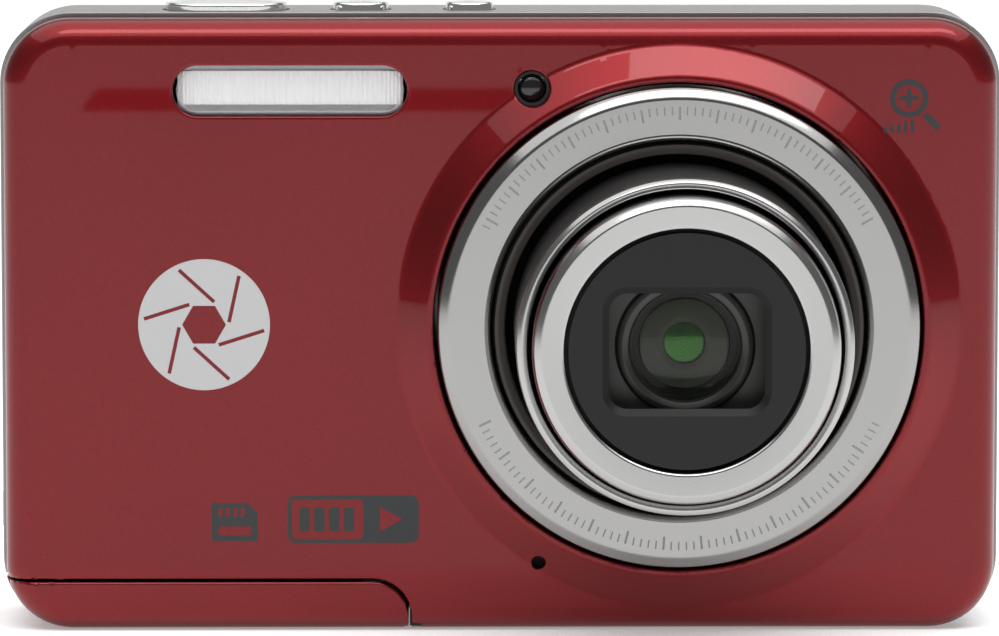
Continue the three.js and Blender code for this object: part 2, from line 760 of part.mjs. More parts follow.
// Front lens cell and its two elements
const cellFace = cellY0 + 0.5;
const cellY1 = cellFace + 4.2;
const elementSeat = cellFace + 2.2;
const rearElementRadius = 3.5;
const cell = turned(
  [
    [lensGlassRadius + seam, cellY0],
    [lensRimRadius, cellY0],
    [lensRimRadius + 0.2, cellFace],
    [innerBore - 0.35, cellFace],
    [innerBore - 0.35, cellY1],
    [rearElementRadius + seam, cellY1],
    [rearElementRadius + seam, elementSeat],
    [lensGlassRadius + seam, elementSeat],
  ],
  lensX,
  lensHeight,
  28,
);
piece("front_lens_cell", cell, BLACK, 0.5);

// A glass element: a disc with a domed front and a flat back.
function element(radius, y0, y1, dome, sides = 24) {
  const profile = [];
  const steps = 4;
  for (let i = 0; i <= steps; i += 1) {
    const r = (radius * i) / steps;
    profile.push([r, y0 + dome * (1 - Math.sqrt(1 - 0.75 * (i / steps) ** 2)) * 2]);
  }
  profile.push([radius, y1], [0, y1]);
  return turned(profile, lensX, lensHeight, sides);
}
piece("front_lens", element(lensGlassRadius, cellY0 + 0.2, elementSeat - 0.3, 0.8), GLASS, 0.05);
piece("second_lens", element(rearElementRadius, elementSeat + 0.3, cellY1 - 0.4, 0.6, 20), GLASS, 0.05);

// Focus cell on its rod, close in front of the sensor
const focusY0 = cellY1 + barrelTravel + innerTravel + 2.6;
const focusY1 = focusY0 + 2.6;
const rodOffset = 6.6;
const rodRadius = 0.6;
const focusGlass = 4.2;
const focusCell = cut(
  ringY(8.4, focusGlass + seam, focusY0, focusY1, lensX, lensHeight, 28),
  rodY(rodRadius + 0.3, lensX, -BIG / 2, BIG / 2, lensHeight + rodOffset, 12),
);
piece("focus_cell", focusCell, BLACK, 0.5);
piece("focus_lens", element(focusGlass, focusY0 + 0.2, focusY1 - 0.2, 0.5, 20), GLASS, 0.05);
const focusRod = rodY(rodRadius, lensX, focusY0 - 2.4, baseY0 - seam, lensHeight + rodOffset, 12);
piece("focus_rod", focusRod, STEEL, 0.25, 1);

// ---------------------------------------------------------------- front face fittings

const windowHeight = flashHeight - 2 * seam;
const windowWidth = flashWidth - 2 * seam;
const windowOutline = roundedOutline(windowWidth, windowHeight, windowHeight / 2 - 0.01, flashX, flashZ);
piece("flash_window", prismY(windowOutline, frontY + 0.15, frontY + wall + 0.2), 0xe8e8ea, 0.1);

const reflectorY0 = frontY + wall + 0.5;
const reflectorY1 = reflectorY0 + 3.6;
const reflectorHalf = flashWidth / 2 - 0.4;
const troughHalf = reflectorHalf - 0.5;

// The trough's section is half a circle, drawn across X.
function flashReflector() {
  const block = box(
    flashX - reflectorHalf,
    flashX + reflectorHalf,
    reflectorY0,
    reflectorY1,
    flashZ - flashHeight / 2 - 0.1,
    flashZ + flashHeight / 2 + 0.1,
  );
  const scoop = rodX(1.9, flashX - troughHalf, flashX + troughHalf, reflectorY0 + 0.7, flashZ, 16);
  return cut(block, scoop);
}
piece("flash_reflector", flashReflector(), CHROME, 0.1, 1);
const tubeHalf = troughHalf - 0.5;
const flashTube = rodX(0.8, flashX - tubeHalf, flashX + tubeHalf, reflectorY0 + 1.1, flashZ, 12);
piece("flash_tube", flashTube, 0xf2f2f0, 0.1);

const capacitorRadius = 3.4;
const capacitorX = right - wall - capacitorRadius - 0.6;
const capacitorY = frontY + wall + capacitorRadius + 0.6;
piece("flash_capacitor", rodZ(capacitorRadius, capacitorX, capacitorY, 17, 45, 20), 0x26282c, 0.4);

const lampLens = rodY(lampRadius - seam, lampX, frontY + 0.2, frontY + wall + 1.6, lampZ, 14);
piece("af_lamp_lens", lampLens, BLACK, 0.1);
piece("microphone", rodY(2, micX, frontY + wall + 0.4, frontY + wall + 1.7, micHeight, 14), STEEL, 0.4, 1);
const speaker = box(speakerX0, speakerX1, speakerY0 - 0.2, speakerY1 + 0.2, speakerZ - 3.6, speakerZ + 3.6);
piece("speaker", speaker, BLACK, 0.5);

// ---------------------------------------------------------------- buttons

// Top buttons: a cap through the deck and a wider flange under it.
const flangeGrow = 0.75;
for (const [name, x, width, depth] of topButtons) {
  const deckUnder = bodyHeight - wall;
  const cap = prismZ(topOutline(x, width, depth, 0), deckUnder - 0.6, bodyHeight + topProud, 3);
  const flange = prismZ(topOutline(x, width, depth, flangeGrow), deckUnder - 0.75, deckUnder - 0.15, 2);
  piece(name, join(cap, flange), CHROME, 0.2, 0.9);
}

// Rear buttons: a round cap through the cover and a flange behind it.
const flangeY1 = rearY - wall - 0.15;
const flangeY0 = flangeY1 - 0.6;
const pushButton = (radius, x, z, sides = 14) =>
  join(
    rodY(radius, x, flangeY0 + 0.1, rearY + rearProud, z, sides),
    rodY(radius + 0.75, x, flangeY0, flangeY1, z, sides),
  );
for (const [name, x, z] of keys) piece(name, pushButton(keyRadius, x, z), SILVER, 0.3, 0.7);

// The ring tips, so its flange stands further back from the cover than a plain button's.
const padFlangeY1 = flangeY1 - 0.4;
const padRing = cut(
  join(
    rodY(padRadius, padX, padFlangeY1 - 0.4, rearY + rearProud, padHeight, 24),
    rodY(padRadius + 0.5 + seam, padX, padFlangeY1 - 0.5, padFlangeY1, padHeight, 24),
  ),
  rodY(setRadius + seam, padX, -BIG / 2, BIG / 2, padHeight, 16),
);
piece("nav_ring", padRing, SILVER, 0.3, 0.7);
const setButton = rodY(setRadius, padX, flangeY0, rearY + rearProud + 0.2, padHeight, 20);
piece("set_button", setButton, SILVER, 0.3, 0.7);

// The rocker tips about its middle, so only its middle is held behind the cover.
const rockerTab = rockerHeight / 2 + 0.9;
const rocker = join(
  prismY(rockerOutline(0), flangeY0 + 0.1, rearY + rearProud),
  box(rockerX - 1.5, rockerX + 1.5, flangeY0, flangeY1, rockerZ - rockerTab, rockerZ + rockerTab),
);
piece("zoom_rocker", rocker, SILVER, 0.3, 0.7);

// ---------------------------------------------------------------- screen

const panelY1 = rearY - wall - 0.3;
const panelY0 = panelY1 - 1.3;
const screenPanel = box(
  screenX - screenWidth / 2 + 0.5,
  screenX + screenWidth / 2 - 0.5,
  panelY0,
  panelY1,
  screenZ - screenHeight / 2 + 0.5,
  screenZ + screenHeight / 2 - 0.5,
);
piece("screen_panel", screenPanel, 0x15171a, 0.3);
const screenWindow = roundedOutline(screenWidth, screenHeight, 1.2, screenX, screenZ);
piece("screen_window", prismY(screenWindow, rearY - wall, rearY - 0.05, 3), 0x0d0e10, 0.05);

// ---------------------------------------------------------------- side fittings and nut

function portCover() {
  const x0 = right - portCoverThick;
  const half = portCoverThick / 2;
  const z0 = portCoverZ - portCoverHeight / 2;
  const z1 = portCoverZ + portCoverHeight / 2;
  return join(
    box(x0, right, portCoverY0, portCoverY1 - half, z0, z1),
    rodZ(half, right - half, portCoverY1 - half, z0, z1, 12),
  );
}
piece("port_cover", portCover(), DECK_GREY, 0.6);

const socketX1 = right - portCoverThick - 0.6;
const socket = cut(
  box(socketX1 - 5.5, socketX1, portCoverY0 + 2, portCoverY0 + 4.8, portCoverZ - 4, portCoverZ + 4),
  box(socketX1 - 4.5, BIG, portCoverY0 + 2.4, portCoverY0 + 4.4, portCoverZ - 3.5, portCoverZ + 3.5),
);
piece("data_socket", socket, STEEL, 0.3, 1);

// Strap lug: a block set into the end wall, with a bar left standing across its hollow
const strapOut = 0.25;
const strapLug = cut(
  box(left - strapOut, left + 1.85, strapY0, strapY1, strapZ - strapHeight / 2, strapZ + strapHeight / 2),
  box(left + 0.55, left + 1.3, strapY0 + 0.6, strapY1 - 0.6, strapZ - BIG, strapZ + BIG),
  box(left - 1, left + 1.3, strapY0 + 0.6, strapY0 + 1.3, strapZ - BIG, strapZ + BIG),
);
piece("strap_lug", strapLug, SILVER, 0.3, 0.9);

const tripodNut = cut(
  rodZ(nutRadius, tripodX, bandMid, 0.1, tripodDepth + 0.8, 24),
  rodZ(tripodRadius, tripodX, bandMid, -1, tripodDepth, 24),
);
piece("tripod_nut", tripodNut, BRASS, 0.35, 1);

for (const spot of screwSpots) piece(spot[0], screwBody(spot, 0), STEEL, 0.3, 1);

export default root;
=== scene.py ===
"""A compact digital camera in red lacquer, standing on a pale floor with its lens run out."""

import math

import bmesh
import bpy
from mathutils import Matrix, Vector
from mathutils.geometry import delaunay_2d_cdt


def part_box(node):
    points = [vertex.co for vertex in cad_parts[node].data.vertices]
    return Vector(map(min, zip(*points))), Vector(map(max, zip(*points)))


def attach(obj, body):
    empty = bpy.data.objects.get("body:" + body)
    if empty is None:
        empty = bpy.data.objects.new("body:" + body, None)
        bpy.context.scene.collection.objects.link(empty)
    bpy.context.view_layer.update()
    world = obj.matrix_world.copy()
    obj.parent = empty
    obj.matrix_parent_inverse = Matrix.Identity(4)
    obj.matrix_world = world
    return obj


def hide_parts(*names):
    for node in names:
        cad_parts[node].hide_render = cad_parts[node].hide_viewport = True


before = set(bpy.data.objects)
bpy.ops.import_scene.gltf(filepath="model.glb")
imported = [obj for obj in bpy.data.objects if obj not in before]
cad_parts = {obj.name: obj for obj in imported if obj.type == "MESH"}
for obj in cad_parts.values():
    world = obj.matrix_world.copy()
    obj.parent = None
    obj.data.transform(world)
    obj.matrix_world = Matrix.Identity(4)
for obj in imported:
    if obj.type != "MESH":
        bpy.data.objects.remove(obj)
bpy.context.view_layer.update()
MM = 0.001
TAU = 2 * math.pi


def middle(node):
    low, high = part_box(node)
    return (low + high) / 2


# ---------------------------------------------------------------- places taken from the frame

cover_low, cover_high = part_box("front_cover")
band_low, band_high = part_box("body_band")
rear_low, rear_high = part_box("rear_cover")
bezel_low, bezel_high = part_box("lens_bezel")
outer_low, outer_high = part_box("barrel_outer")
inner_low, inner_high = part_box("barrel_inner")
lens = middle("lens_bezel")
LX, LZ = lens.x, lens.z
BEZEL_RADIUS = (bezel_high.x - bezel_low.x) / 2
FRONT_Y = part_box("battery_door")[0].y
WALL = 1.2 * MM
SEAM = 0.3 * MM

# ---------------------------------------------------------------- camera


CAMERA_PLACE = Vector((-5.62 * MM, -606.4 * MM, 90.5 * MM))
CAMERA_AIM = Vector((-0.12 * MM, -9.6 * MM, 28.9 * MM))
FOCAL_LENGTH = 237.4


def place_camera():
    data = bpy.data.cameras.new("view")
    data.sensor_width = 36
    data.lens = FOCAL_LENGTH
    data.clip_start = 0.05
    camera = bpy.data.objects.new("view", data)
    camera.location = CAMERA_PLACE
    camera.rotation_euler = (CAMERA_AIM - CAMERA_PLACE).to_track_quat("-Z", "Y").to_euler()
    bpy.context.scene.collection.objects.link(camera)
    bpy.context.scene.camera = camera


place_camera()
bpy.context.scene.view_settings.view_transform = "Standard"


# ---------------------------------------------------------------- shader maths


class Value:
    """A shader socket that can be used in sums."""

    def __init__(self, finish, socket):
        self.finish = finish
        self.socket = socket

    def math(self, operation, *others, swapped=False):
        terms = [self, *others]
        if swapped:
            terms.reverse()
        return self.finish.node("ShaderNodeMath", {"operation": operation}, dict(enumerate(terms)))

    def __add__(self, other):
        return self.math("ADD", other)

    def __radd__(self, other):
        return self.math("ADD", other)

    def __sub__(self, other):
        return self.math("SUBTRACT", other)

    def __rsub__(self, other):
        return self.math("SUBTRACT", other, swapped=True)

    def __mul__(self, other):
        return self.math("MULTIPLY", other)

    def __rmul__(self, other):
        return self.math("MULTIPLY", other)


class Finish:
    """One material, built on a Principled shader."""

    def __init__(self, name, **constants):
        self.material = bpy.data.materials.new(name)
        self.material.use_nodes = True
        self.tree = self.material.node_tree
        self.tree.nodes.clear()
        self.shader = self.tree.nodes.new("ShaderNodeBsdfPrincipled")
        output = self.tree.nodes.new("ShaderNodeOutputMaterial")
        self.tree.links.new(self.shader.outputs["BSDF"], output.inputs["Surface"])
        for key, value in constants.items():
            self.shader.inputs[key.replace("_", " ")].default_value = value

    def feed(self, socket, value):
        if isinstance(value, Value):
            self.tree.links.new(value.socket, socket)
        else:
            socket.default_value = value

    def node(self, kind, settings=None, inputs=None, output=0):
        made = self.tree.nodes.new(kind)
        for key, value in (settings or {}).items():
            if key == "stops":
                ramp = made.color_ramp
                while len(ramp.elements) < len(value):
                    ramp.elements.new(0.5)
                for element, (position, colour) in zip(ramp.elements, value):
                    element.position = position
                    element.color = colour
            else:
                setattr(made, key, value)
        for key, value in (inputs or {}).items():
            self.feed(made.inputs[key], value)
        return Value(self, made.outputs[output])

    def place(self):
        return self.node("ShaderNodeTexCoord", output="Object")

    def noise(self, scale, detail=2.0, roughness=0.5, stretch=None):
        where = self.place()
        if stretch:
            where = self.node("ShaderNodeMapping", None, {"Vector": where, "Scale": stretch})
        values = {"Vector": where, "Scale": scale, "Detail": detail, "Roughness": roughness}
        return self.node("ShaderNodeTexNoise", None, values, output="Fac")

    def blend(self, amount, first, second):
        settings = {"data_type": "RGBA", "clamp_factor": True}
        return self.node("ShaderNodeMix", settings, {0: amount, 6: first, 7: second}, output=2)

    def colour(self, value):
        self.feed(self.shader.inputs["Base Color"], value)

    def roughness(self, value):
        self.feed(self.shader.inputs["Roughness"], value)

    def bump(self, height, distance, strength=1.0):
        values = {"Height": height, "Distance": distance, "Strength": strength}
        self.feed(self.shader.inputs["Normal"], self.node("ShaderNodeBump", None, values, output="Normal"))


def shade(red, green, blue):
    return (red, green, blue, 1.0)


# ---------------------------------------------------------------- finishes


def red_lacquer():
    """Deep red metallic under a clear coat, with fine flake."""
    finish = Finish("red_lacquer", Metallic=0.88, Coat_Weight=0.5, Coat_Roughness=0.02, Coat_IOR=1.5)
    flake = finish.noise(5200, 1.0)
    cloud = finish.noise(45, 3.0)
    tone = (flake - 0.5) * 0.9 + (cloud - 0.5) * 0.35 + 0.5
    finish.colour(finish.blend(tone, shade(0.13, 0.002, 0.004), shade(0.235, 0.005, 0.008)))
    finish.roughness(0.40 + (flake - 0.5) * 0.12)
    finish.bump(finish.noise(900, 2.0), 0.000004)
    return finish.material


def satin_metal(name, dark, light, rough, grain=3000, stretch=None, metallic=1.0, bump=0.000002):
    finish = Finish(name, Metallic=metallic)
    fine = finish.noise(grain, 2.0, stretch=stretch)
    broad = finish.noise(60, 3.0)
    finish.colour(finish.blend(fine * 0.6 + broad * 0.4, dark, light))
    finish.roughness(rough + (broad - 0.5) * 0.06 + (fine - 0.5) * 0.05)
    finish.bump(fine, bump)
    return finish.material


def moulded_plastic(name, dark, light, rough, grain=4500, bump=0.000008, coat=0.0, shine=0.5):
    finish = Finish(name, Metallic=0.0, Coat_Weight=coat, Coat_Roughness=0.08, Specular_IOR_Level=shine)
    fine = finish.noise(grain, 2.0)
    broad = finish.noise(80, 3.0)
    finish.colour(finish.blend(fine * 0.5 + broad * 0.5, dark, light))
    finish.roughness(rough + (broad - 0.5) * 0.08)
    finish.bump(fine, bump)
    return finish.material


def clear_pane(name, tint, cover):
    """A clear polished part: mostly see-through, with a sharp gloss."""
    finish = Finish(name, Metallic=0.0, Coat_Weight=0.12, Coat_Roughness=0.01, Alpha=cover)
    smear = finish.noise(150, 3.0)
    finish.colour(finish.blend(smear, tint, tuple(min(1.0, channel * 1.08) for channel in tint)))
    finish.roughness(0.02 + smear * 0.02)
    return finish.material


POLISHED = 0.000001  # depth of the grain on smooth mouldings and prints

RED = red_lacquer()
DECK = satin_metal("deck_grey", shade(0.25, 0.245, 0.24), shade(0.33, 0.323, 0.316), 0.36, metallic=0.75)
SILVER = satin_metal("satin_silver", shade(0.285, 0.283, 0.279), shade(0.35, 0.347, 0.342), 0.15, 5200)
BARREL = satin_metal("barrel_silver", shade(0.37, 0.367, 0.364), shade(0.44, 0.437, 0.433), 0.2, 5200)
CHROME = satin_metal("bright_chrome", shade(0.78, 0.78, 0.77), shade(0.85, 0.85, 0.84), 0.08, 3000)
STEEL = satin_metal("plain_steel", shade(0.35, 0.35, 0.36), shade(0.48, 0.48, 0.49), 0.3, 3000)
BRASS = satin_metal("turned_brass", shade(0.40, 0.25, 0.09), shade(0.52, 0.34, 0.13), 0.3, 3000)
BLACK = moulded_plastic("black_satin", shade(0.008, 0.0075, 0.008), shade(0.012, 0.0115, 0.012), 0.5, shine=0.3)
MATT = moulded_plastic("black_matt", shade(0.006, 0.006, 0.006), shade(0.012, 0.011, 0.011), 0.7)
COLLAR = moulded_plastic("dark_collar", shade(0.034, 0.028, 0.025), shade(0.048, 0.040, 0.036), 0.55)
CREAM = moulded_plastic("gear_cream", shade(0.62, 0.58, 0.47), shade(0.74, 0.70, 0.58), 0.45)
WRAP = moulded_plastic("cell_wrap", shade(0.018, 0.019, 0.022), shade(0.03, 0.031, 0.036), 0.35)
CARD = moulded_plastic("card_blue", shade(0.012, 0.026, 0.06), shade(0.02, 0.04, 0.09), 0.5)
BOARD = moulded_plastic("board_green", shade(0.01, 0.08, 0.03), shade(0.02, 0.13, 0.05), 0.35, 1200)
PRINT = moulded_plastic("dark_print", shade(0.012, 0.016, 0.018), shade(0.022, 0.026, 0.028), 0.4, bump=POLISHED)
BADGE = moulded_plastic("badge_grey", shade(0.46, 0.455, 0.46), shade(0.53, 0.525, 0.53), 0.35, bump=POLISHED)
FLASH = clear_pane("clear_window", shade(0.9, 0.9, 0.91), 0.16)
OPTIC = clear_pane("lens_glass", shade(0.006, 0.011, 0.004), 0.3)
SCREEN = moulded_plastic("screen_glass", shade(0.003, 0.003, 0.004), shade(0.005, 0.005, 0.006), 0.07, bump=0)
SENSOR = satin_metal("sensor_blue", shade(0.03, 0.05, 0.10), shade(0.06, 0.08, 0.15), 0.15, 3000)

COATED = satin_metal("coated_glass", shade(0.05, 0.20, 0.03), shade(0.08, 0.30, 0.05), 0.16, 2000, bump=0)
RIM = moulded_plastic("lens_rim", shade(0.10, 0.115, 0.07), shade(0.14, 0.16, 0.10), 0.3)
MOUNT = moulded_plastic("lens_mount", shade(0.022, 0.024, 0.020), shade(0.034, 0.037, 0.030), 0.35)
RIBS = moulded_plastic("flash_ribs", shade(0.88, 0.885, 0.89), shade(0.95, 0.955, 0.96), 0.2, bump=POLISHED)
TUBE = moulded_plastic("flash_tube_glass", shade(0.7, 0.7, 0.68), shade(0.8, 0.8, 0.78), 0.15, bump=POLISHED)
LAMP = moulded_plastic(
    "lamp_glass", shade(0.006, 0.006, 0.007), shade(0.012, 0.011, 0.012), 0.12, bump=0, coat=0.15
)
KEYS = satin_metal("key_silver", shade(0.42, 0.415, 0.41), shade(0.52, 0.515, 0.51), 0.3, 5200)
RUBBER = moulded_plastic("port_rubber", shade(0.12, 0.115, 0.112), shade(0.16, 0.155, 0.15), 0.6)
SCALE = moulded_plastic("scale_grey", shade(0.22, 0.22, 0.22), shade(0.30, 0.30, 0.30), 0.35, bump=POLISHED)

# ---------------------------------------------------------------- outlines, drawn in X and Z


def arc(cx, cz, radius, start, end, steps):
    angles = [start + (end - start) * i / steps for i in range(steps + 1)]
    return [(cx + radius * math.cos(a), cz + radius * math.sin(a)) for a in angles]


def circle(cx, cz, radius, steps=48):
    return arc(cx, cz, radius, 0, TAU, steps)[:-1]


def rounded(x0, x1, z0, z1, radius, steps=10):
    quarter = TAU / 4
    corners = [(x1, z0, 3), (x1, z1, 0), (x0, z1, 1), (x0, z0, 2)]
    points = []
    for x, z, turn in corners:
        cx = x - radius if x == x1 else x + radius
        cz = z + radius if z == z0 else z - radius
        points += arc(cx, cz, radius, turn * quarter, (turn + 1) * quarter, steps)
    return points


def stadium(cx, cz, width, height, steps=14):
    radius = height / 2 - 1e-6
    return rounded(cx - width / 2, cx + width / 2, cz - height / 2, cz + height / 2, radius, steps)


# ---------------------------------------------------------------- solids


def to_object(name, bm, smooth=35):
    mesh = bpy.data.meshes.new(name)
    bmesh.ops.recalc_face_normals(bm, faces=bm.faces)
    bm.to_mesh(mesh)
    bm.free()
    mesh.shade_smooth()
    mesh.set_sharp_from_angle(angle=math.radians(smooth))
    made = bpy.data.objects.new(name, mesh)
    bpy.context.scene.collection.objects.link(made)
    return made


def loft_into(bm, rings):
    loops = [[bm.verts.new(point) for point in ring] for ring in rings]
    for first, second in zip(loops, loops[1:]):
        count = len(first)
        for i in range(count):
            j = (i + 1) % count
            bm.faces.new((first[i], first[j], second[j], second[i]))
    bm.faces.new(loops[0])
    bm.faces.new(reversed(loops[-1]))
    return bm


def loft(name, rings, smooth=35):
    """A closed skin over rings with the same number of points, with flat ends."""
    return to_object(name, loft_into(bmesh.new(), rings), smooth)


def ring_y(points, y):
    return [Vector((x, y, z)) for x, z in points]


def rolled(outline, radius, end, lift, steps):
    """Rings that roll an outline's edge over to the face at end; lift puts a ring at its place."""
    rings = []
    for step in range(steps + 1):
        turn = TAU / 4 * step / steps
        inset = radius * (1 - math.cos(turn))
        ring = offset(outline, inset) if inset else outline
        rings.append(lift(ring, end - radius * (1 - math.sin(turn))))
    return rings


def slab(name, points, y0, y1):
    return loft(name, [ring_y(points, y0), ring_y(points, y1)])


def turned(name, profile, cx=LX, cz=LZ, segments=128, smooth=30):
    """A piece turned about an axis along Y; profile is [(radius, y)], closed on itself or on the axis."""
    bm = bmesh.new()
    columns = []
    for i in range(segments):
        angle = TAU * i / segments
        c, s = math.cos(angle), math.sin(angle)
        columns.append([(cx + r * c, y, cz + r * s) for r, y in profile])
    tips = {}
    loops = []
    for column in columns:
        loop = []
        for k, point in enumerate(column):
            if profile[k][0] == 0:
                if k not in tips:
                    tips[k] = bm.verts.new(point)
                loop.append(tips[k])
            else:
                loop.append(bm.verts.new(point))
        loops.append(loop)
    closed = profile[0][0] > 0
    pairs = list(zip(range(len(profile)), range(1, len(profile))))
    if closed:
        pairs.append((len(profile) - 1, 0))
    for i in range(segments):
        this, after = loops[i], loops[(i + 1) % segments]
        for a, b in pairs:
            corners = [this[a], after[a], after[b], this[b]]
            unique = [v for n, v in enumerate(corners) if v not in corners[:n]]
            bm.faces.new(unique)
    return to_object(name, bm, smooth)


def soften(profile, radius, steps=4, closed=True):
    """Rounds the corners of a turned profile."""
    points = [Vector(p) for p in profile]
    count = len(points)
    result = []
    for i, point in enumerate(points):
        if (not closed and i in (0, count - 1)) or point.x == 0:
            result.append(tuple(point))
            continue
        before, after = points[i - 1], points[(i + 1) % count]
        reach = min(radius, (before - point).length * 0.45, (after - point).length * 0.45)
        start = point + (before - point).normalized() * reach
        end = point + (after - point).normalized() * reach
        for k in range(steps + 1):
            t = k / steps
            bezier = start * (1 - t) ** 2 + point * 2 * t * (1 - t) + end * t**2
            result.append(tuple(bezier))
    return result


def bake(piece):
    """Applies a piece's modifiers."""
    evaluated = piece.evaluated_get(bpy.context.evaluated_depsgraph_get())
    mesh = bpy.data.meshes.new_from_object(evaluated)
    piece.modifiers.clear()
    old = piece.data
    piece.data = mesh
    bpy.data.meshes.remove(old)
    return piece


def carve(piece, *cutters, operation="DIFFERENCE"):
    for cutter in cutters:
        modifier = piece.modifiers.new("cut", "BOOLEAN")
        modifier.operation = operation
        modifier.solver = "EXACT"
        modifier.object = cutter
    bake(piece)
    for cutter in cutters:
        bpy.data.objects.remove(cutter)
    piece.data.shade_smooth()
    piece.data.set_sharp_from_angle(angle=math.radians(35))
    return piece


def edge(piece, width=0.12 * MM, segments=2, angle=35):
    """Breaks the sharp edges, as tooling leaves them."""
    modifier = piece.modifiers.new("edge", "BEVEL")
    modifier.width = width
    modifier.segments = segments
    modifier.limit_method = "ANGLE"
    modifier.angle_limit = math.radians(angle)
    modifier.harden_normals = True
    modifier.use_clamp_overlap = True
    return piece


def fit(piece, body, material, stands_for=()):
    piece.data.materials.clear()
    piece.data.materials.append(material)
    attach(piece, body)
    if stands_for:
        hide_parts(*stands_for)
    return piece


def offset(points, distance):
    """Moves a closed outline inwards; the outline runs anticlockwise and has no sharp corners."""
    moved = []
    count = len(points)
    for i, (x, z) in enumerate(points):
        before, after = points[i - 1], points[(i + 1) % count]
        dx, dz = after[0] - before[0], after[1] - before[1]
        length = math.hypot(dx, dz)
        moved.append((x - dz / length * distance, z + dx / length * distance))
    return moved


def divide(points, step):
    """Splits the long sides of a closed outline."""
    result = []
    for (x0, z0), (x1, z1) in zip(points, points[1:] + points[:1]):
        parts = max(1, math.ceil(math.hypot(x1 - x0, z1 - z0) / step))
        result += [(x0 + (x1 - x0) * i / parts, z0 + (z1 - z0) * i / parts) for i in range(parts)]
    return result


def in_outline(x, z, outline):
    odd = False
    for (x0, z0), (x1, z1) in zip(outline, outline[1:] + outline[:1]):
        if (z0 > z) != (z1 > z) and x < x0 + (z - z0) * (x1 - x0) / (z1 - z0):
            odd = not odd
    return odd


def triangulate(loops, extra, inside):
    """Fills between closed outlines; returns points, triangles and each outline's own points."""
    points, edges, spans = [], [], []
    for loop in loops:
        start = len(points)
        points += [Vector(p) / MM for p in loop]
        edges += [(start + i, start + (i + 1) % len(loop)) for i in range(len(loop))]
        spans.append(range(start, start + len(loop)))
    points += [Vector(p) / MM for p in extra]
    found, _, faces, sources, _, _ = delaunay_2d_cdt(points, edges, [], 0, 1e-5)
    home = {source: index for index, group in enumerate(sources) for source in group}
    found = [point * MM for point in found]
    kept = []
    for face in faces:
        centre = sum((found[i] for i in face), Vector((0, 0))) / len(face)
        if inside(centre.x, centre.y):
            kept.append(face)
    return found, kept, [[home[i] for i in span] for span in spans]


def plate_from(name, loops, y0, y1, smooth=35, surface=None):
    """A plate of any outline, with holes where one outline lies inside another; it may follow a surface."""

    def inside(x, z):
        return sum(in_outline(x, z, loop) for loop in loops) % 2 == 1

    points, faces, rims = triangulate(loops, [], inside)
    bm = bmesh.new()
    rest = [surface(p.x, p.y) if surface else 0 for p in points]
    front = [bm.verts.new((p.x, y0 + y, p.y)) for p, y in zip(points, rest)]
    back = [bm.verts.new((p.x, y1 + y, p.y)) for p, y in zip(points, rest)]
    for face in faces:
        bm.faces.new([front[i] for i in face])
        bm.faces.new([back[i] for i in reversed(face)])
    for rim in rims:
        for a, b in zip(rim, rim[1:] + rim[:1]):
            bm.faces.new((front[a], front[b], back[b], back[a]))
    loose = [v for v in bm.verts if not v.link_faces]
    bmesh.ops.delete(bm, geom=loose, context="VERTS")
    return to_object(name, bm, smooth)


# ---------------------------------------------------------------- front cover

CORNER = 6.1 * MM
ROUND = 2.4 * MM
BORDER = 5.9 * MM
BORDER_SLOPE = math.tan(math.radians(5))
MOUND_BASE = 25.6 * MM
MOUND_RISE = 2.1 * MM
LENS_HOLE = BEZEL_RADIUS + SEAM
MOUND_EDGE = LENS_HOLE + 0.6 * MM
FLANK_SLOPE = MOUND_RISE / (MOUND_BASE - MOUND_EDGE)
HOLE_ROUND = 0.22 * MM
SHELL_INNER_Y = FRONT_Y + WALL
DOOR_X = -8.45 * MM
DOOR_TOP = 4.55 * MM
DOOR_CORNER = 3.3 * MM
flash = middle("flash_window")
flash_low, flash_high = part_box("flash_window")
FLASH_WIDTH = flash_high.x - flash_low.x + 2 * SEAM
FLASH_HEIGHT = flash_high.z - flash_low.z + 2 * SEAM
lamp = middle("af_lamp_lens")
LAMP_HOLE = 1.6 * MM
mic = middle("microphone")
MIC_HOLE = 0.58 * MM


def rounded_gap(x, z, x0, x1, z0, z1, radius):
    """How far a point lies inside a rounded rectangle."""
    qx = abs(x - (x0 + x1) / 2) - (x1 - x0) / 2 + radius
    qz = abs(z - (z0 + z1) / 2) - (z1 - z0) / 2 + radius
    return radius - math.hypot(max(qx, 0), max(qz, 0)) - min(max(qx, qz), 0)


def cover_gap(x, z):
    return rounded_gap(x, z, cover_low.x, cover_high.x, 0, cover_high.z, CORNER)


def flash_gap(x, z):
    half_x, half_z = FLASH_WIDTH / 2, FLASH_HEIGHT / 2
    return rounded_gap(x, z, flash.x - half_x, flash.x + half_x, flash.z - half_z, flash.z + half_z, half_z)


def door_gap(x, z):
    qx = x - DOOR_X + DOOR_CORNER
    qz = z - DOOR_TOP + DOOR_CORNER
    return DOOR_CORNER - math.hypot(max(qx, 0), max(qz, 0)) - min(max(qx, qz), 0)


def roll(gap, radius):
    """How far a rounded edge has fallen away, at a distance in from it."""
    short = radius - min(max(gap, 0), radius)
    return radius - math.sqrt(radius**2 - short**2)


def ease(value, width):
    """The larger of a value and nothing, with the corner between them rounded."""
    if abs(value) >= width:
        return max(value, 0)
    return (value + width) ** 2 / (4 * width)


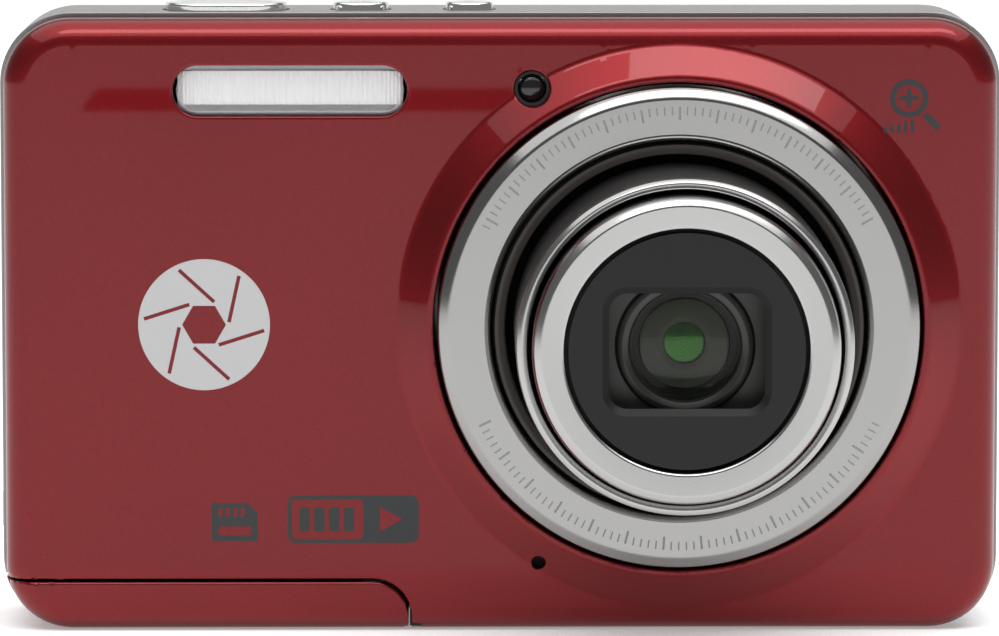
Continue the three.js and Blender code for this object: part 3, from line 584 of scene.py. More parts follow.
def front_y(x, z):
    side = min(x - cover_low.x, cover_high.x - x, z)
    base = FRONT_Y + ease(BORDER - side, 0.3 * MM) * BORDER_SLOPE
    reach = math.hypot(x - LX, z - LZ)
    flank = FRONT_Y + (reach - MOUND_BASE) * FLANK_SLOPE
    top = FRONT_Y - MOUND_RISE
    mound = top + ease(flank - top, 0.16 * MM)
    y = base - ease(base - mound, 0.2 * MM)
    seam_gap = abs(door_gap(x, z) + SEAM / 2) - SEAM / 2
    gaps = (
        reach - LENS_HOLE,
        -flash_gap(x, z),
        math.hypot(x - lamp.x, z - lamp.z) - LAMP_HOLE,
        math.hypot(x - mic.x, z - mic.z) - MIC_HOLE,
        seam_gap,
    )
    return y + roll(cover_gap(x, z), ROUND) + roll(min(gaps), HOLE_ROUND)


def door_outline(grow, step=0.8 * MM):
    """The open line along the top and inner side of the door, grown outwards."""
    radius = DOOR_CORNER + grow
    cx, cz = DOOR_X - DOOR_CORNER, DOOR_TOP - DOOR_CORNER
    count = math.ceil((cx - cover_low.x) / step)
    top = [(cover_low.x + (cx - cover_low.x) * i / count, cz + radius) for i in range(count)]
    corner = arc(cx, cz, radius, TAU / 4, 0, 9)
    down = [(cx + radius, cz * (1 - i / 3)) for i in range(1, 4)]
    return top + corner + down


def crease_lines():
    """Points along the tilted border's crease and its mitres."""
    points = []
    for shift in (-0.5, -0.25, -0.1, 0, 0.1, 0.25, 0.5):
        inset = BORDER + shift * MM
        for i in range(1, 130):
            x = cover_low.x + inset + (cover_high.x - cover_low.x - 2 * inset) * i / 130
            points.append((x, inset))
        for i in range(70):
            z = inset + (cover_high.z - inset) * i / 70
            points.append((cover_low.x + inset, z))
            points.append((cover_high.x - inset, z))
    for i in range(14):
        depth = BORDER * i / 14
        points.append((cover_low.x + depth, depth))
        points.append((cover_high.x - depth, depth))
    return points


def mound_rings():
    radii = [0.05, 0.11, 0.17, 0.22, 0.35, 0.48, 0.54, 0.6, 0.66, 0.72, 0.85, 1.4, 2.1, 2.8]
    radii += [3.05, 3.2, 3.28, 3.35, 3.42, 3.5, 3.65, 3.9]
    points = []
    for grow in radii:
        points += circle(LX, LZ, LENS_HOLE + grow * MM, 240)
    return points


def thin_out(families, fixed):
    """Drops points that fall on top of earlier ones, or outside the cover."""
    cell = 0.045 * MM
    taken = set()

    def key(x, z):
        return (round(x / cell), round(z / cell))

    for x, z in fixed:
        taken.add(key(x, z))
    kept = []
    for x, z in families:
        i, j = key(x, z)
        near = {(i + a, j + b) for a in (-1, 0, 1) for b in (-1, 0, 1)}
        if cover_gap(x, z) > 0.01 * MM and not near & taken:
            taken.add((i, j))
            kept.append((x, z))
    return kept


def cover_outline(inset=0.0):
    base = rounded(cover_low.x, cover_high.x, 0, cover_high.z, CORNER, 14)
    base = divide(base, 0.9 * MM)
    return offset(base, inset) if inset else base


def front_skin():
    outline = cover_outline()
    holes = [
        circle(LX, LZ, LENS_HOLE, 240),
        divide(stadium(flash.x, flash.z, FLASH_WIDTH, FLASH_HEIGHT, 14), 0.5 * MM),
        circle(lamp.x, lamp.z, LAMP_HOLE, 48),
        circle(mic.x, mic.z, MIC_HOLE, 24),
    ]
    extra = []
    for step in range(1, 10):
        extra += offset(outline, ROUND * (1 - math.cos(TAU / 4 * step / 9)))
    extra += offset(outline, ROUND + 0.2 * MM)
    for hole in holes[1:]:
        for grow in (0.05, 0.11, 0.17, 0.22, 0.3):
            extra += offset(hole, -grow * MM)
    for shift in (-0.45, -0.37, -0.32, -0.26, -0.2, -0.11, 0, 0.11, 0.2, 0.26, 0.32, 0.37, 0.45):
        extra += door_outline(SEAM / 2 + shift * MM)
    extra += mound_rings() + crease_lines()
    extra += [(x * 3.1 * MM, z * 3.1 * MM) for x in range(-14, 15) for z in range(1, 18)]
    fixed = outline + [p for hole in holes for p in hole]
    solid = [p for p in thin_out(extra, fixed) if not any(in_outline(*p, hole) for hole in holes)]

    def inside(x, z):
        return not any(in_outline(x, z, hole) for hole in holes)

    return outline, holes, triangulate([outline, *holes], solid, inside)


SKIN = front_skin()


def cover_shell(name, back):
    """The whole front cover with its walls, before the door is parted from it."""
    outline, holes, (points, faces, rims) = SKIN
    bm = bmesh.new()
    skin = [bm.verts.new((p.x, front_y(p.x, p.y), p.y)) for p in points]
    for face in faces:
        bm.faces.new([skin[i] for i in face])

    def inside(x, z):
        return not any(in_outline(x, z, hole) for hole in holes)

    inner_loop = offset(outline, WALL)
    flat, flat_faces, flat_rims = triangulate([inner_loop, *holes], [], inside)
    lining = [bm.verts.new((p.x, SHELL_INNER_Y, p.y)) for p in flat]
    for face in flat_faces:
        bm.faces.new([lining[i] for i in face])
    rim = [bm.verts.new((x, back, z)) for x, z in outline]
    inner_rim = [bm.verts.new((x, back, z)) for x, z in inner_loop]
    edges = [skin[i] for i in rims[0]]
    lining_edge = [lining[i] for i in flat_rims[0]]
    walls = [(edges, rim), (rim, inner_rim), (inner_rim, lining_edge)]
    walls += [([skin[i] for i in a], [lining[i] for i in b]) for a, b in zip(rims[1:], flat_rims[1:])]
    for first, second in walls:
        count = len(first)
        for i in range(count):
            j = (i + 1) % count
            bm.faces.new((first[i], first[j], second[j], second[i]))
    loose = [v for v in bm.verts if not v.link_faces]
    bmesh.ops.delete(bm, geom=loose, context="VERTS")
    return to_object(name, bm)


def door_prism(grow, y0, y1):
    far = -60 * MM
    radius = DOOR_CORNER + grow
    cx, cz = DOOR_X - DOOR_CORNER, DOOR_TOP - DOOR_CORNER
    points = [(far, -10 * MM), (cx + radius, -10 * MM), *arc(cx, cz, radius, 0, TAU / 4, 18)]
    points.append((far, cz + radius))
    return slab("cutter", points, y0, y1)


def rod_y(radius, x, y0, y1, z, steps=48):
    return slab("rod", circle(x, z, radius, steps), y0, y1)


def block(x0, x1, y0, y1, z0, z1):
    return slab("block", [(x0, z0), (x1, z0), (x1, z1), (x0, z1)], y0, y1)


def true_normals(piece):
    """Shades the front by its exact shape, so that its fine triangles don't show."""
    mesh = piece.data
    step = 0.004 * MM
    close = 0.02 * MM
    slopes = {}
    normals = []
    for face in mesh.polygons:
        for corner in face.loop_indices:
            index = mesh.loops[corner].vertex_index
            x, y, z = mesh.vertices[index].co
            if face.normal.y > -0.05 or abs(front_y(x, z) - y) > close:
                normals.append(mesh.corner_normals[corner].vector.copy())
                continue
            if index not in slopes:
                across = (front_y(x + step, z) - front_y(x - step, z)) / (2 * step)
                up = (front_y(x, z + step) - front_y(x, z - step)) / (2 * step)
                slopes[index] = Vector((across, -1, up)).normalized()
            normals.append(slopes[index])
    mesh.normals_split_custom_set(normals)
    return piece


def settle(piece):
    """Keeps flat faces looking flat next to rounded ones."""
    modifier = piece.modifiers.new("flats", "WEIGHTED_NORMAL")
    modifier.keep_sharp = True
    return piece


cover = cover_shell("front_shell", cover_high.y)
carve(cover, door_prism(SEAM, -20 * MM, 10 * MM))
fit(true_normals(cover), "camera_body", RED, ["front_cover"])


def shell_ring(name, outline, inner, y0, y1, round_by=0.0):
    """A tube between two outlines, its outer edges broken."""
    rings = []
    for step in range(5):
        turn = TAU / 4 * step / 4
        rings.append((round_by * (1 - math.sin(turn)), y0 + round_by * (1 - math.cos(turn))))
    rings += [(inset, y0 + y1 - y) for inset, y in reversed(rings)]
    if not round_by:
        rings = [(0, y0), (0, y1)]
    bm = bmesh.new()
    loops = [ring_y(offset(outline, inset) if inset else outline, y) for inset, y in rings]
    loops += [ring_y(inner, y1), ring_y(inner, y0)]
    made = [[bm.verts.new(point) for point in loop] for loop in loops]
    for first, second in zip(made, made[1:] + made[:1]):
        for i in range(len(first)):
            j = (i + 1) % len(first)
            bm.faces.new((first[i], first[j], second[j], second[i]))
    return to_object(name, bm)


def band_outline(inset=0.0):
    outer = divide(rounded(band_low.x, band_high.x, 0, band_high.z, 6.5 * MM, 16), 2 * MM)
    return offset(outer, inset) if inset else outer


def battery_door():
    hinge = middle("door_hinge_pin")
    door_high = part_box("battery_door")[1]
    overlap = 0.15 * MM
    door = cover_shell("battery_hatch", cover_high.y + overlap)
    wrap = shell_ring("wrap", band_outline(), band_outline(WALL), cover_high.y, door_high.y)
    lug_low, lug_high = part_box("door_hinge_slider")
    lug_width = 2 * MM
    carve(door, door_prism(0, -20 * MM, 10 * MM), operation="INTERSECT")
    carve(wrap, door_prism(0, -20 * MM, 10 * MM), operation="INTERSECT")
    knuckle = rod_y(1 * MM, hinge.x, lug_low.y + lug_width + SEAM, lug_high.y - lug_width - SEAM, hinge.z)
    carve(door, wrap, knuckle, operation="UNION")
    bore = (0.75 * MM, hinge.x, lug_low.y - 1 * MM, lug_high.y + 1 * MM, hinge.z)
    cutters = [rod_y(*bore)]
    for y0 in (lug_low.y, lug_high.y - lug_width):
        notch = (hinge.x - 1.5 * MM, 20 * MM, y0 - SEAM, y0 + lug_width + SEAM, -5 * MM, 15 * MM)
        cutters.append(block(*notch))
    return carve(door, *cutters)


fit(true_normals(battery_door()), "door_leaf", RED, ["battery_door"])

# A matt black block behind the door seam, so that the seam shows as a dark line: painted shade in the gap.
seam_shade_block = block(DOOR_X + 0.12 * MM, DOOR_X + 1.2 * MM, -7.9 * MM, -5 * MM, 0.35 * MM, 4.0 * MM)
fit(edge(seam_shade_block, 0.05 * MM), "camera_body", MATT)


# ---------------------------------------------------------------- band with deck, ends and bottom

DECK_Z = band_high.z


def along_z(points, z):
    return [Vector((x, y, z)) for x, y in points]


def post(points, z0, z1):
    return loft("post", [along_z(points, z0), along_z(points, z1)])


def along_x(points, x):
    return [Vector((x, y, z)) for y, z in points]


def bar(points, x0, x1):
    return loft("bar", [along_x(points, x0), along_x(points, x1)])


def plan(node, grow=0.0, steps=16):
    """A top button's outline seen from above."""
    low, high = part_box(node)
    flange = 0.75 * MM
    width = high.x - low.x - 2 * flange + 2 * grow
    depth = high.y - low.y - 2 * flange + 2 * grow
    return stadium((low.x + high.x) / 2, (low.y + high.y) / 2, width, depth, steps)


TOP_BUTTONS = [
    ("shutter_button", "shutter_key"),
    ("power_button", "power_key"),
    ("mode_button", "mode_key"),
]


def body_band():
    band = shell_ring("middle_band", band_outline(), band_outline(WALL), band_low.y, band_high.y, 0.12 * MM)
    cutters = [post(plan(name, SEAM), DECK_Z - 4 * MM, DECK_Z + 4 * MM) for name, _ in TOP_BUTTONS]
    speaker_low, speaker_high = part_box("speaker")
    middle_z = (speaker_low.z + speaker_high.z) / 2
    for i in range(6):
        z = middle_z + (i - 2.5) * 0.9 * MM
        rim = stadium(
            (speaker_low.y + speaker_high.y) / 2, z, speaker_high.y - speaker_low.y - 0.4 * MM, 0.4 * MM, 6
        )
        cutters.append(bar(rim, band_low.x - 1 * MM, band_low.x + 2 * MM))
    port_low, port_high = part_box("port_cover")
    port = (port_low.y - SEAM, port_high.y + SEAM, port_low.z - SEAM, port_high.z + SEAM, 0.5 * MM, 5)
    cutters.append(bar(rounded(*port), port_low.x - 1.1 * MM, port_high.x + 1 * MM))
    lug_low, lug_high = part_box("strap_lug")
    lug = (lug_low.y - SEAM, lug_high.y + SEAM, lug_low.z - SEAM, lug_high.z + SEAM, 0.4 * MM, 5)
    cutters.append(bar(rounded(*lug), lug_low.x - 1 * MM, lug_high.x + 0.3 * MM))
    nut = middle("tripod_nut")
    cutters.append(post(circle(nut.x, nut.y, 4.5 * MM + SEAM, 64), -1 * MM, 2 * MM))
    for name in ("screw_bottom_inner", "screw_bottom_outer"):
        spot = middle(name)
        cutters.append(post(circle(spot.x, spot.y, 1.7 * MM, 40), -1 * MM, 0.7 * MM))
        cutters.append(post(circle(spot.x, spot.y, 1.0 * MM, 32), -1 * MM, 2 * MM))
    spot = middle("screw_right_end")
    edge_x = band_high.x
    cutters.append(bar(circle(spot.y, spot.z, 1.7 * MM, 40), edge_x - 0.7 * MM, edge_x + 1 * MM))
    cutters.append(bar(circle(spot.y, spot.z, 1.0 * MM, 32), edge_x - 2 * MM, edge_x + 1 * MM))
    cutters.append(door_prism(SEAM, -10 * MM, 12 * MM))
    return carve(band, *cutters)


fit(settle(edge(body_band(), 0.07 * MM, 2, 50)), "camera_body", DECK, ["body_band"])


# ---------------------------------------------------------------- rear cover

REAR_Y = rear_high.y
REAR_ROUND = 1.8 * MM
pad = middle("nav_ring")
PAD_RADIUS = 8.5 * MM
SET_RADIUS = 3.6 * MM
KEY_RADIUS = 2.6 * MM
window_low, window_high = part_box("screen_window")
rocker = middle("zoom_rocker")
ROCKER_WIDTH = 14 * MM
ROCKER_HEIGHT = 4.4 * MM
REAR_KEYS = [
    ("record_button", "record_key"),
    ("menu_button", "menu_key"),
    ("play_button", "play_key"),
    ("info_button", "info_key"),
    ("delete_button", "delete_key"),
]


def rear_cover():
    outline = band_outline()
    rings = [ring_y(outline, rear_low.y)]
    cover = loft("back_shell", rings + rolled(outline, REAR_ROUND, REAR_Y, ring_y, 9))
    hollow = rounded(
        band_low.x + WALL, band_high.x - WALL, WALL, band_high.z - WALL, 5.3 * MM, 12
    )
    cutters = [slab("hollow", hollow, -5 * MM, REAR_Y - WALL)]
    screen = (window_low.x - SEAM, window_high.x + SEAM, window_low.z - SEAM, window_high.z + SEAM, 1.5 * MM)
    cutters.append(slab("screen", rounded(*screen), 5 * MM, 12 * MM))
    cutters.append(rod_y(PAD_RADIUS + SEAM, pad.x, 5 * MM, 12 * MM, pad.z, 96))
    rocker_hole = stadium(rocker.x, rocker.z, ROCKER_WIDTH + 2 * SEAM, ROCKER_HEIGHT + 2 * SEAM)
    cutters.append(slab("rocker", rocker_hole, 5 * MM, 12 * MM))
    for name, _ in REAR_KEYS:
        key = middle(name)
        cutters.append(rod_y(KEY_RADIUS + SEAM, key.x, 5 * MM, 12 * MM, key.z))
    return carve(cover, *cutters)


fit(settle(edge(rear_cover(), 0.1 * MM, 2, 40)), "camera_body", DECK, ["rear_cover"])


# ---------------------------------------------------------------- lens unit

BEZEL_Y = bezel_low.y
TUBE_INNER = 15.75 * MM


def lens_bezel():
    inner, outer = BEZEL_RADIUS - 4.9 * MM, BEZEL_RADIUS
    profile = [
        (inner + 0.45 * MM, BEZEL_Y + 0.02 * MM),
        (outer - 0.95 * MM, BEZEL_Y),
        (outer - 0.12 * MM, BEZEL_Y + 0.6 * MM),
        (outer, BEZEL_Y + 1.0 * MM),
        (outer, SHELL_INNER_Y),
        (outer - 1 * MM, SHELL_INNER_Y),
        (outer - 1 * MM, BEZEL_Y + 1.6 * MM),
        (inner + SEAM, BEZEL_Y + 1.6 * MM),
        (inner, BEZEL_Y + 0.5 * MM),
    ]
    return turned("lens_ring", soften(profile, 0.22 * MM, 5), segments=192)


def ring_part(name, outer, inner, y0, y1, round_by=0.15 * MM, segments=160):
    profile = [(inner, y0), (outer, y0), (outer, y1), (inner, y1)]
    return turned(name, soften(profile, round_by, 4), segments=segments)


fit(settle(lens_bezel()), "camera_body", SILVER, ["lens_bezel"])
collar_low, collar_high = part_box("lens_collar")
collar_outer = (collar_high.x - collar_low.x) / 2
collar = soften(
    [
        (collar_outer - 0.9 * MM, collar_low.y + 0.45 * MM),
        (collar_outer - 0.35 * MM, collar_low.y),
        (collar_outer, collar_low.y),
        (collar_outer, collar_high.y),
        (collar_outer - 0.9 * MM, collar_high.y),
    ],
    0.1 * MM,
)
fit(settle(turned("dark_ring", collar, segments=160)), "camera_body", COLLAR, ["lens_collar"])
tube_low, tube_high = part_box("lens_tube")
tube = ring_part("guide_tube", (tube_high.x - tube_low.x) / 2, TUBE_INNER, tube_low.y, tube_high.y)
fit(settle(tube), "camera_body", MATT, ["lens_tube"])


def outer_barrel():
    radius = (outer_high.x - outer_low.x) / 2
    inner = radius - 1.05 * MM
    profile = [
        (inner, outer_low.y + 0.35 * MM),
        (inner + 0.15 * MM, outer_low.y + 0.08 * MM),
        (radius - 0.42 * MM, outer_low.y),
        (radius - 0.06 * MM, outer_low.y + 0.32 * MM),
        (radius, outer_low.y + 1.5 * MM),
        (radius, outer_high.y),
        (inner, outer_high.y),
    ]
    return turned("outer_barrel_sleeve", soften(profile, 0.14 * MM, 4), segments=160)


INNER_RADIUS = (inner_high.x - inner_low.x) / 2
plate_low, plate_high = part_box("face_plate")
PLATE_RADIUS = (plate_high.x - plate_low.x) / 2


def inner_barrel():
    bore = INNER_RADIUS - 1.2 * MM
    front = inner_low.y
    rim = PLATE_RADIUS + SEAM
    profile = [
        (rim, front + 0.28 * MM),
        (rim + 0.22 * MM, front + 0.06 * MM),
        (INNER_RADIUS - 0.75 * MM, front),
        (INNER_RADIUS - 0.2 * MM, front + 0.38 * MM),
        (INNER_RADIUS, front + 0.95 * MM),
        (INNER_RADIUS, inner_high.y),
        (bore, inner_high.y),
        (bore, front + 1.1 * MM),
        (rim, front + 1.1 * MM),
    ]
    return turned("inner_barrel_sleeve", soften(profile, 0.12 * MM, 4), segments=160)


fit(settle(outer_barrel()), "outer_barrel", BARREL, ["barrel_outer"])
fit(settle(inner_barrel()), "inner_barrel", BARREL, ["barrel_inner"])

PORT_HALF_X = 6.85 * MM
PORT_HALF_Z = 5.1 * MM


def port_outline(grow, steps=10):
    corner = 1.6 * MM + grow
    x, z = PORT_HALF_X + grow, PORT_HALF_Z + grow
    return rounded(LX - x, LX + x, LZ - z, LZ + z, corner, steps)


def face_plate():
    disc = ring_part("front_plate", PLATE_RADIUS, 1 * MM, plate_low.y, plate_high.y, 0.08 * MM)
    slope = [
        ring_y(port_outline(0.62 * MM), plate_low.y - 0.02 * MM),
        ring_y(port_outline(0.0), plate_low.y + 0.6 * MM),
        ring_y(port_outline(0.0), plate_high.y + 1 * MM),
    ]
    return carve(disc, loft("port", slope))


fit(settle(edge(face_plate(), 0.05 * MM, 2)), "inner_barrel", BLACK, ["face_plate"])


def blade(node, name, side):
    """One leaf of the lens barrier, a flat plate with its edges broken."""
    low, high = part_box(node)
    reach = max(abs(low.z - LZ), abs(high.z - LZ))
    half = (high.x - low.x) / 2
    inner = low.z - LZ if side > 0 else LZ - high.z
    start = math.atan2(math.sqrt(reach**2 - half**2), half)
    curve = arc(0, 0, reach, start, TAU / 2 - start, 40)
    outline = [(half, inner), *curve, (-half, inner)]
    outline = [(LX + x, LZ + side * z) for x, z in outline]
    if side < 0:
        outline.reverse()
    return edge(slab(name, outline, low.y, high.y), 0.08 * MM, 2)


fit(blade("blade_upper", "upper_leaf", 1), "upper_blade", BLACK, ["blade_upper"])
fit(blade("blade_lower", "lower_leaf", -1), "lower_blade", BLACK, ["blade_lower"])

cell_low, cell_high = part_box("front_lens_cell")
glass_low, glass_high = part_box("front_lens")
GLASS_RADIUS = (glass_high.x - glass_low.x) / 2


def lens_cell():
    """The stepped black mount round the front elements."""
    front = cell_low.y
    face = front + 0.5 * MM
    outer = (cell_high.x - cell_low.x) / 2
    profile = [
        (GLASS_RADIUS + 0.15 * MM, front + 0.75 * MM),
        (GLASS_RADIUS + 0.35 * MM, front + 0.2 * MM),
        (5.55 * MM, front),
        (6.0 * MM, front + 0.1 * MM),
        (6.2 * MM, face),
        (outer, face),
        (outer, cell_high.y),
        (3.8 * MM, cell_high.y),
        (3.8 * MM, front + 3.0 * MM),
        (4.1 * MM, front + 2.7 * MM),
        (GLASS_RADIUS + 0.3 * MM, front + 2.7 * MM),
        (GLASS_RADIUS + 0.3 * MM, front + 0.9 * MM),
    ]
    return turned("front_mount", soften(profile, 0.07 * MM, 3), segments=128)


def lens_element(name, radius, y0, y1, dome):
    profile = [(0, y0)]
    steps = 14
    for i in range(1, steps + 1):
        share = i / steps
        profile.append((radius * share, y0 + dome * (1 - math.sqrt(1 - 0.75 * share**2)) * 2))
    profile += [(radius, y1), (0, y1 - 0.2 * MM)]
    return turned(name, profile, segments=96)


fit(settle(lens_cell()), "inner_barrel", MOUNT, ["front_lens_cell"])
front_glass = lens_element("front_element", GLASS_RADIUS, glass_low.y, glass_high.y, 0.8 * MM)
fit(front_glass, "inner_barrel", OPTIC, ["front_lens"])
second_low, second_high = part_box("second_lens")
inner_glass = lens_element("second_element", 3.5 * MM, second_low.y, second_high.y, 0.6 * MM)
fit(inner_glass, "inner_barrel", COATED, ["second_lens"])
stop = soften(
    [
        (1.9 * MM, second_low.y - 0.5 * MM),
        (2.35 * MM, second_low.y - 0.62 * MM),
        (4.0 * MM, second_low.y - 0.45 * MM),
        (4.0 * MM, second_low.y - 0.25 * MM),
        (1.9 * MM, second_low.y - 0.25 * MM),
    ],
    0.05 * MM,
)
fit(turned("iris_stop", stop, segments=96), "inner_barrel", RIM)


# ---------------------------------------------------------------- flash and focus lamp


def flash_window():
    """A clear window with a rounded front edge."""
    width, height = flash_high.x - flash_low.x, flash_high.z - flash_low.z
    outline = stadium(flash.x, flash.z, width, height, 12)
    round_by = 0.25 * MM
    rings = [ring_y(offset(outline, round_by), flash_low.y)]
    for step in range(1, 5):
        turn = TAU / 4 * step / 4
        inset = round_by * (1 - math.sin(turn))
        ring = offset(outline, inset) if inset > 0 else outline
        rings.append(ring_y(ring, flash_low.y + round_by - inset))
    rings.append(ring_y(outline, flash_low.y + 0.7 * MM))
    return loft("flash_pane", rings)


def flash_ribs():
    """The diffuser behind the pane, in upright ribs that are finer towards its ends."""
    half = (flash_high.x - flash_low.x) / 2 - 0.5 * MM
    bottom, top = flash.z - 1.3 * MM, flash.z + 1.75 * MM
    edges = [-half]
    while edges[-1] < half:
        share = abs(edges[-1]) / half
        edges.append(edges[-1] + (0.62 - 0.32 * share**2) * MM)
    bm = bmesh.new()
    front, back = flash_high.y - 0.32 * MM, flash_high.y - 0.02 * MM
    rib = 0.14 * MM
    profile = []
    for left, right in zip(edges, edges[1:]):
        for k in range(4):
            share = k / 4
            profile.append((left + (right - left) * share, front + rib * (1 - math.sin(math.pi * share))))
    profile.append((edges[-1], front + rib))
    rings = []
    for x, y in profile:
        corners = ((y, bottom), (back, bottom), (back, top), (y, top))
        rings.append([Vector((flash.x + x, v, z)) for v, z in corners])
    return to_object("flash_diffuser", loft_into(bm, rings), 30)


def flash_reflector():
    low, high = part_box("flash_reflector")
    outer = rounded(low.x, high.x, low.z, high.z, 0.4 * MM, 5)
    inner = rounded(low.x + 0.5 * MM, high.x - 0.5 * MM, flash.z - 1.9 * MM, flash.z + 1.9 * MM, 1.0 * MM, 8)
    tray = slab("flash_bowl", outer, low.y, high.y)
    rings = []
    for step in range(9):
        depth = 2.5 * MM * step / 8
        inset = 1.2 * MM * (1 - math.sqrt(1 - (step / 8 * 0.98) ** 2))
        rings.append(ring_y(offset(inner, inset), low.y - 0.1 * MM + depth))
    return carve(tray, loft("scoop", rings))


fit(settle(flash_window()), "camera_body", FLASH, ["flash_window"])
fit(settle(flash_ribs()), "camera_body", RIBS)
fit(settle(flash_reflector()), "camera_body", STEEL, ["flash_reflector"])


def lamp_lens():
    low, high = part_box("af_lamp_lens")
    radius = (high.x - low.x) / 2
    profile = [(0, low.y)]
    for i in range(1, 13):
        share = i / 12
        profile.append((radius * share, low.y + 0.75 * MM * (1 - math.sqrt(1 - 0.9 * share**2))))
    profile += [(radius, high.y), (0, high.y)]
    return turned("focus_lamp", profile, lamp.x, lamp.z, 64)


fit(lamp_lens(), "camera_body", LAMP, ["af_lamp_lens"])
lamp_rim = [(1.32 * MM, FRONT_Y + 0.28 * MM), (1.58 * MM, FRONT_Y + 0.22 * MM)]
lamp_rim += [(1.58 * MM, FRONT_Y + 1.1 * MM), (1.32 * MM, FRONT_Y + 1.1 * MM)]
fit(turned("lamp_ring", lamp_rim, lamp.x, lamp.z, 64), "camera_body", MATT)


# ---------------------------------------------------------------- buttons


def top_button(node, body):
    low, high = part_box(node)
    flange_high = low.z + 0.6 * MM
    outline = plan(node)
    rings = [along_z(plan(node, 0.75 * MM), low.z), along_z(plan(node, 0.75 * MM), flange_high)]
    rings.append(along_z(outline, flange_high + 0.01 * MM))
    rings += rolled(outline, 0.3 * MM, high.z, along_z, 5)
    rings.append(along_z(offset(outline, 0.75 * MM), high.z - 0.02 * MM))
    rings.append(along_z(offset(outline, 1.4 * MM), high.z - 0.1 * MM))
    fit(settle(loft(node.replace("button", "cap"), rings)), body, CHROME, [node])


for node, body in TOP_BUTTONS:
    top_button(node, body)


def rear_key(node, body):
    low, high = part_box(node)
    key = middle(node)
    profile = [
        (0, low.y),
        (KEY_RADIUS + 0.75 * MM, low.y),
        (KEY_RADIUS + 0.75 * MM, low.y + 0.6 * MM),
        (KEY_RADIUS, low.y + 0.6 * MM),
        (KEY_RADIUS, high.y),
        (KEY_RADIUS - 0.55 * MM, high.y),
        (KEY_RADIUS - 1.2 * MM, high.y - 0.1 * MM),
        (0, high.y - 0.14 * MM),
    ]
    cap = turned(node.replace("button", "key"), soften(profile, 0.2 * MM), key.x, key.z, 64)
    fit(settle(cap), body, KEYS, [node])


for node, body in REAR_KEYS:
    rear_key(node, body)


def pad_ring():
    low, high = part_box("nav_ring")
    flange = (high.x - low.x) / 2
    bore = SET_RADIUS + SEAM
    profile = [
        (bore, low.y),
        (flange, low.y),
        (flange, low.y + 0.5 * MM),
        (PAD_RADIUS, low.y + 0.5 * MM),
        (PAD_RADIUS, high.y - 0.15 * MM),
        (PAD_RADIUS - 0.5 * MM, high.y),
        (PAD_RADIUS - 1.3 * MM, high.y - 0.02 * MM),
        (PAD_RADIUS - 2.6 * MM, high.y - 0.2 * MM),
        (bore + 0.6 * MM, high.y - 0.12 * MM),
        (bore, high.y - 0.2 * MM),
    ]
    return turned("four_way_ring", soften(profile, 0.18 * MM), pad.x, pad.z, 128)


def set_key():
    low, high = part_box("set_button")
    profile = [(0, low.y), (SET_RADIUS, low.y), (SET_RADIUS, high.y), (SET_RADIUS - 0.7 * MM, high.y)]
    profile.append((0, high.y - 0.16 * MM))
    return turned("middle_key", soften(profile, 0.25 * MM), pad.x, pad.z, 96)


def zoom_lever():
    low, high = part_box("zoom_rocker")
    outline = stadium(rocker.x, rocker.z, ROCKER_WIDTH, ROCKER_HEIGHT, 14)
    rings = [ring_y(outline, low.y + 0.1 * MM)]
    rings += rolled(outline, 0.35 * MM, high.y, ring_y, 5)
    rings.append(ring_y(offset(outline, 1.1 * MM), high.y - 0.02 * MM))
    rings.append(ring_y(offset(outline, 1.5 * MM), high.y - 0.18 * MM))
    tab = block(rocker.x - 1.5 * MM, rocker.x + 1.5 * MM, low.y, low.y + 0.6 * MM, low.z, high.z)
    tab.name = "zoom_lever_tab"
    fit(edge(tab, 0.08 * MM), "zoom_lever", KEYS)
    return loft("zoom_lever_cap", rings)


fit(settle(pad_ring()), "nav_pad", KEYS, ["nav_ring"])
fit(settle(set_key()), "set_key", KEYS, ["set_button"])
fit(settle(zoom_lever()), "zoom_lever", KEYS, ["zoom_rocker"])


# ---------------------------------------------------------------- screen and side fittings


def screen_pane():
    outline = rounded(window_low.x, window_high.x, window_low.z, window_high.z, 1.2 * MM, 8)
    rings = [ring_y(outline, window_low.y)]
    return loft("screen_pane", rings + rolled(outline, 0.18 * MM, window_high.y, ring_y, 3))


fit(settle(screen_pane()), "camera_body", SCREEN, ["screen_window"])


def port_flap():
    low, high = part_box("port_cover")
    outline = rounded(low.y, high.y - 0.02 * MM, low.z, high.z, 0.45 * MM, 6)
    rings = [along_x(outline, low.x)]
    flap = loft("port_flap_panel", rings + rolled(outline, 0.2 * MM, high.x, along_x, 3))
    z = middle("port_cover").z
    nail = rounded(low.y + 0.5 * MM, low.y + 1.1 * MM, z - 1.6 * MM, z + 1.6 * MM, 0.28 * MM, 6)
    return carve(flap, bar(nail, high.x - 0.25 * MM, high.x + 1 * MM))


fit(settle(port_flap()), "port_flap", RUBBER, ["port_cover"])


def cross_screw(node, axis):
    """A screw head with a cross recess, and its shank."""
    low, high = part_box(node)
    spot = middle(node)
    head, depth = 1.4 * MM, 0.5 * MM
    shank = 0.7 * MM
    if axis == "z":
        start, end, far = low.z, low.z + depth, high.z
        lift, cx, cy = along_z, spot.x, spot.y
    else:
        start, end, far = high.x, high.x - depth, low.x
        lift, cx, cy = along_x, spot.y, spot.z
    way = 1 if end > start else -1
    lip = 0.2 * MM
    profile = [(head - lip, start), (head, start + way * lip), (head, end), (shank, end), (shank, far)]
    screw = loft(node + "_head", [lift(circle(cx, cy, radius, 40), spot) for radius, spot in profile])
    arm, half = 0.75 * MM, 0.14 * MM
    cutters = []
    for w, h in ((arm, half), (half, arm)):
        shape = [(cx - w, cy - h), (cx + w, cy - h), (cx + w, cy + h), (cx - w, cy + h)]
        ends = (start - way * 0.2 * MM, start + way * 0.35 * MM)
        cutters.append(loft("slot", [lift(shape, spot) for spot in ends]))
    carve(screw, *cutters)
    return fit(settle(screw), "camera_body", STEEL, [node])


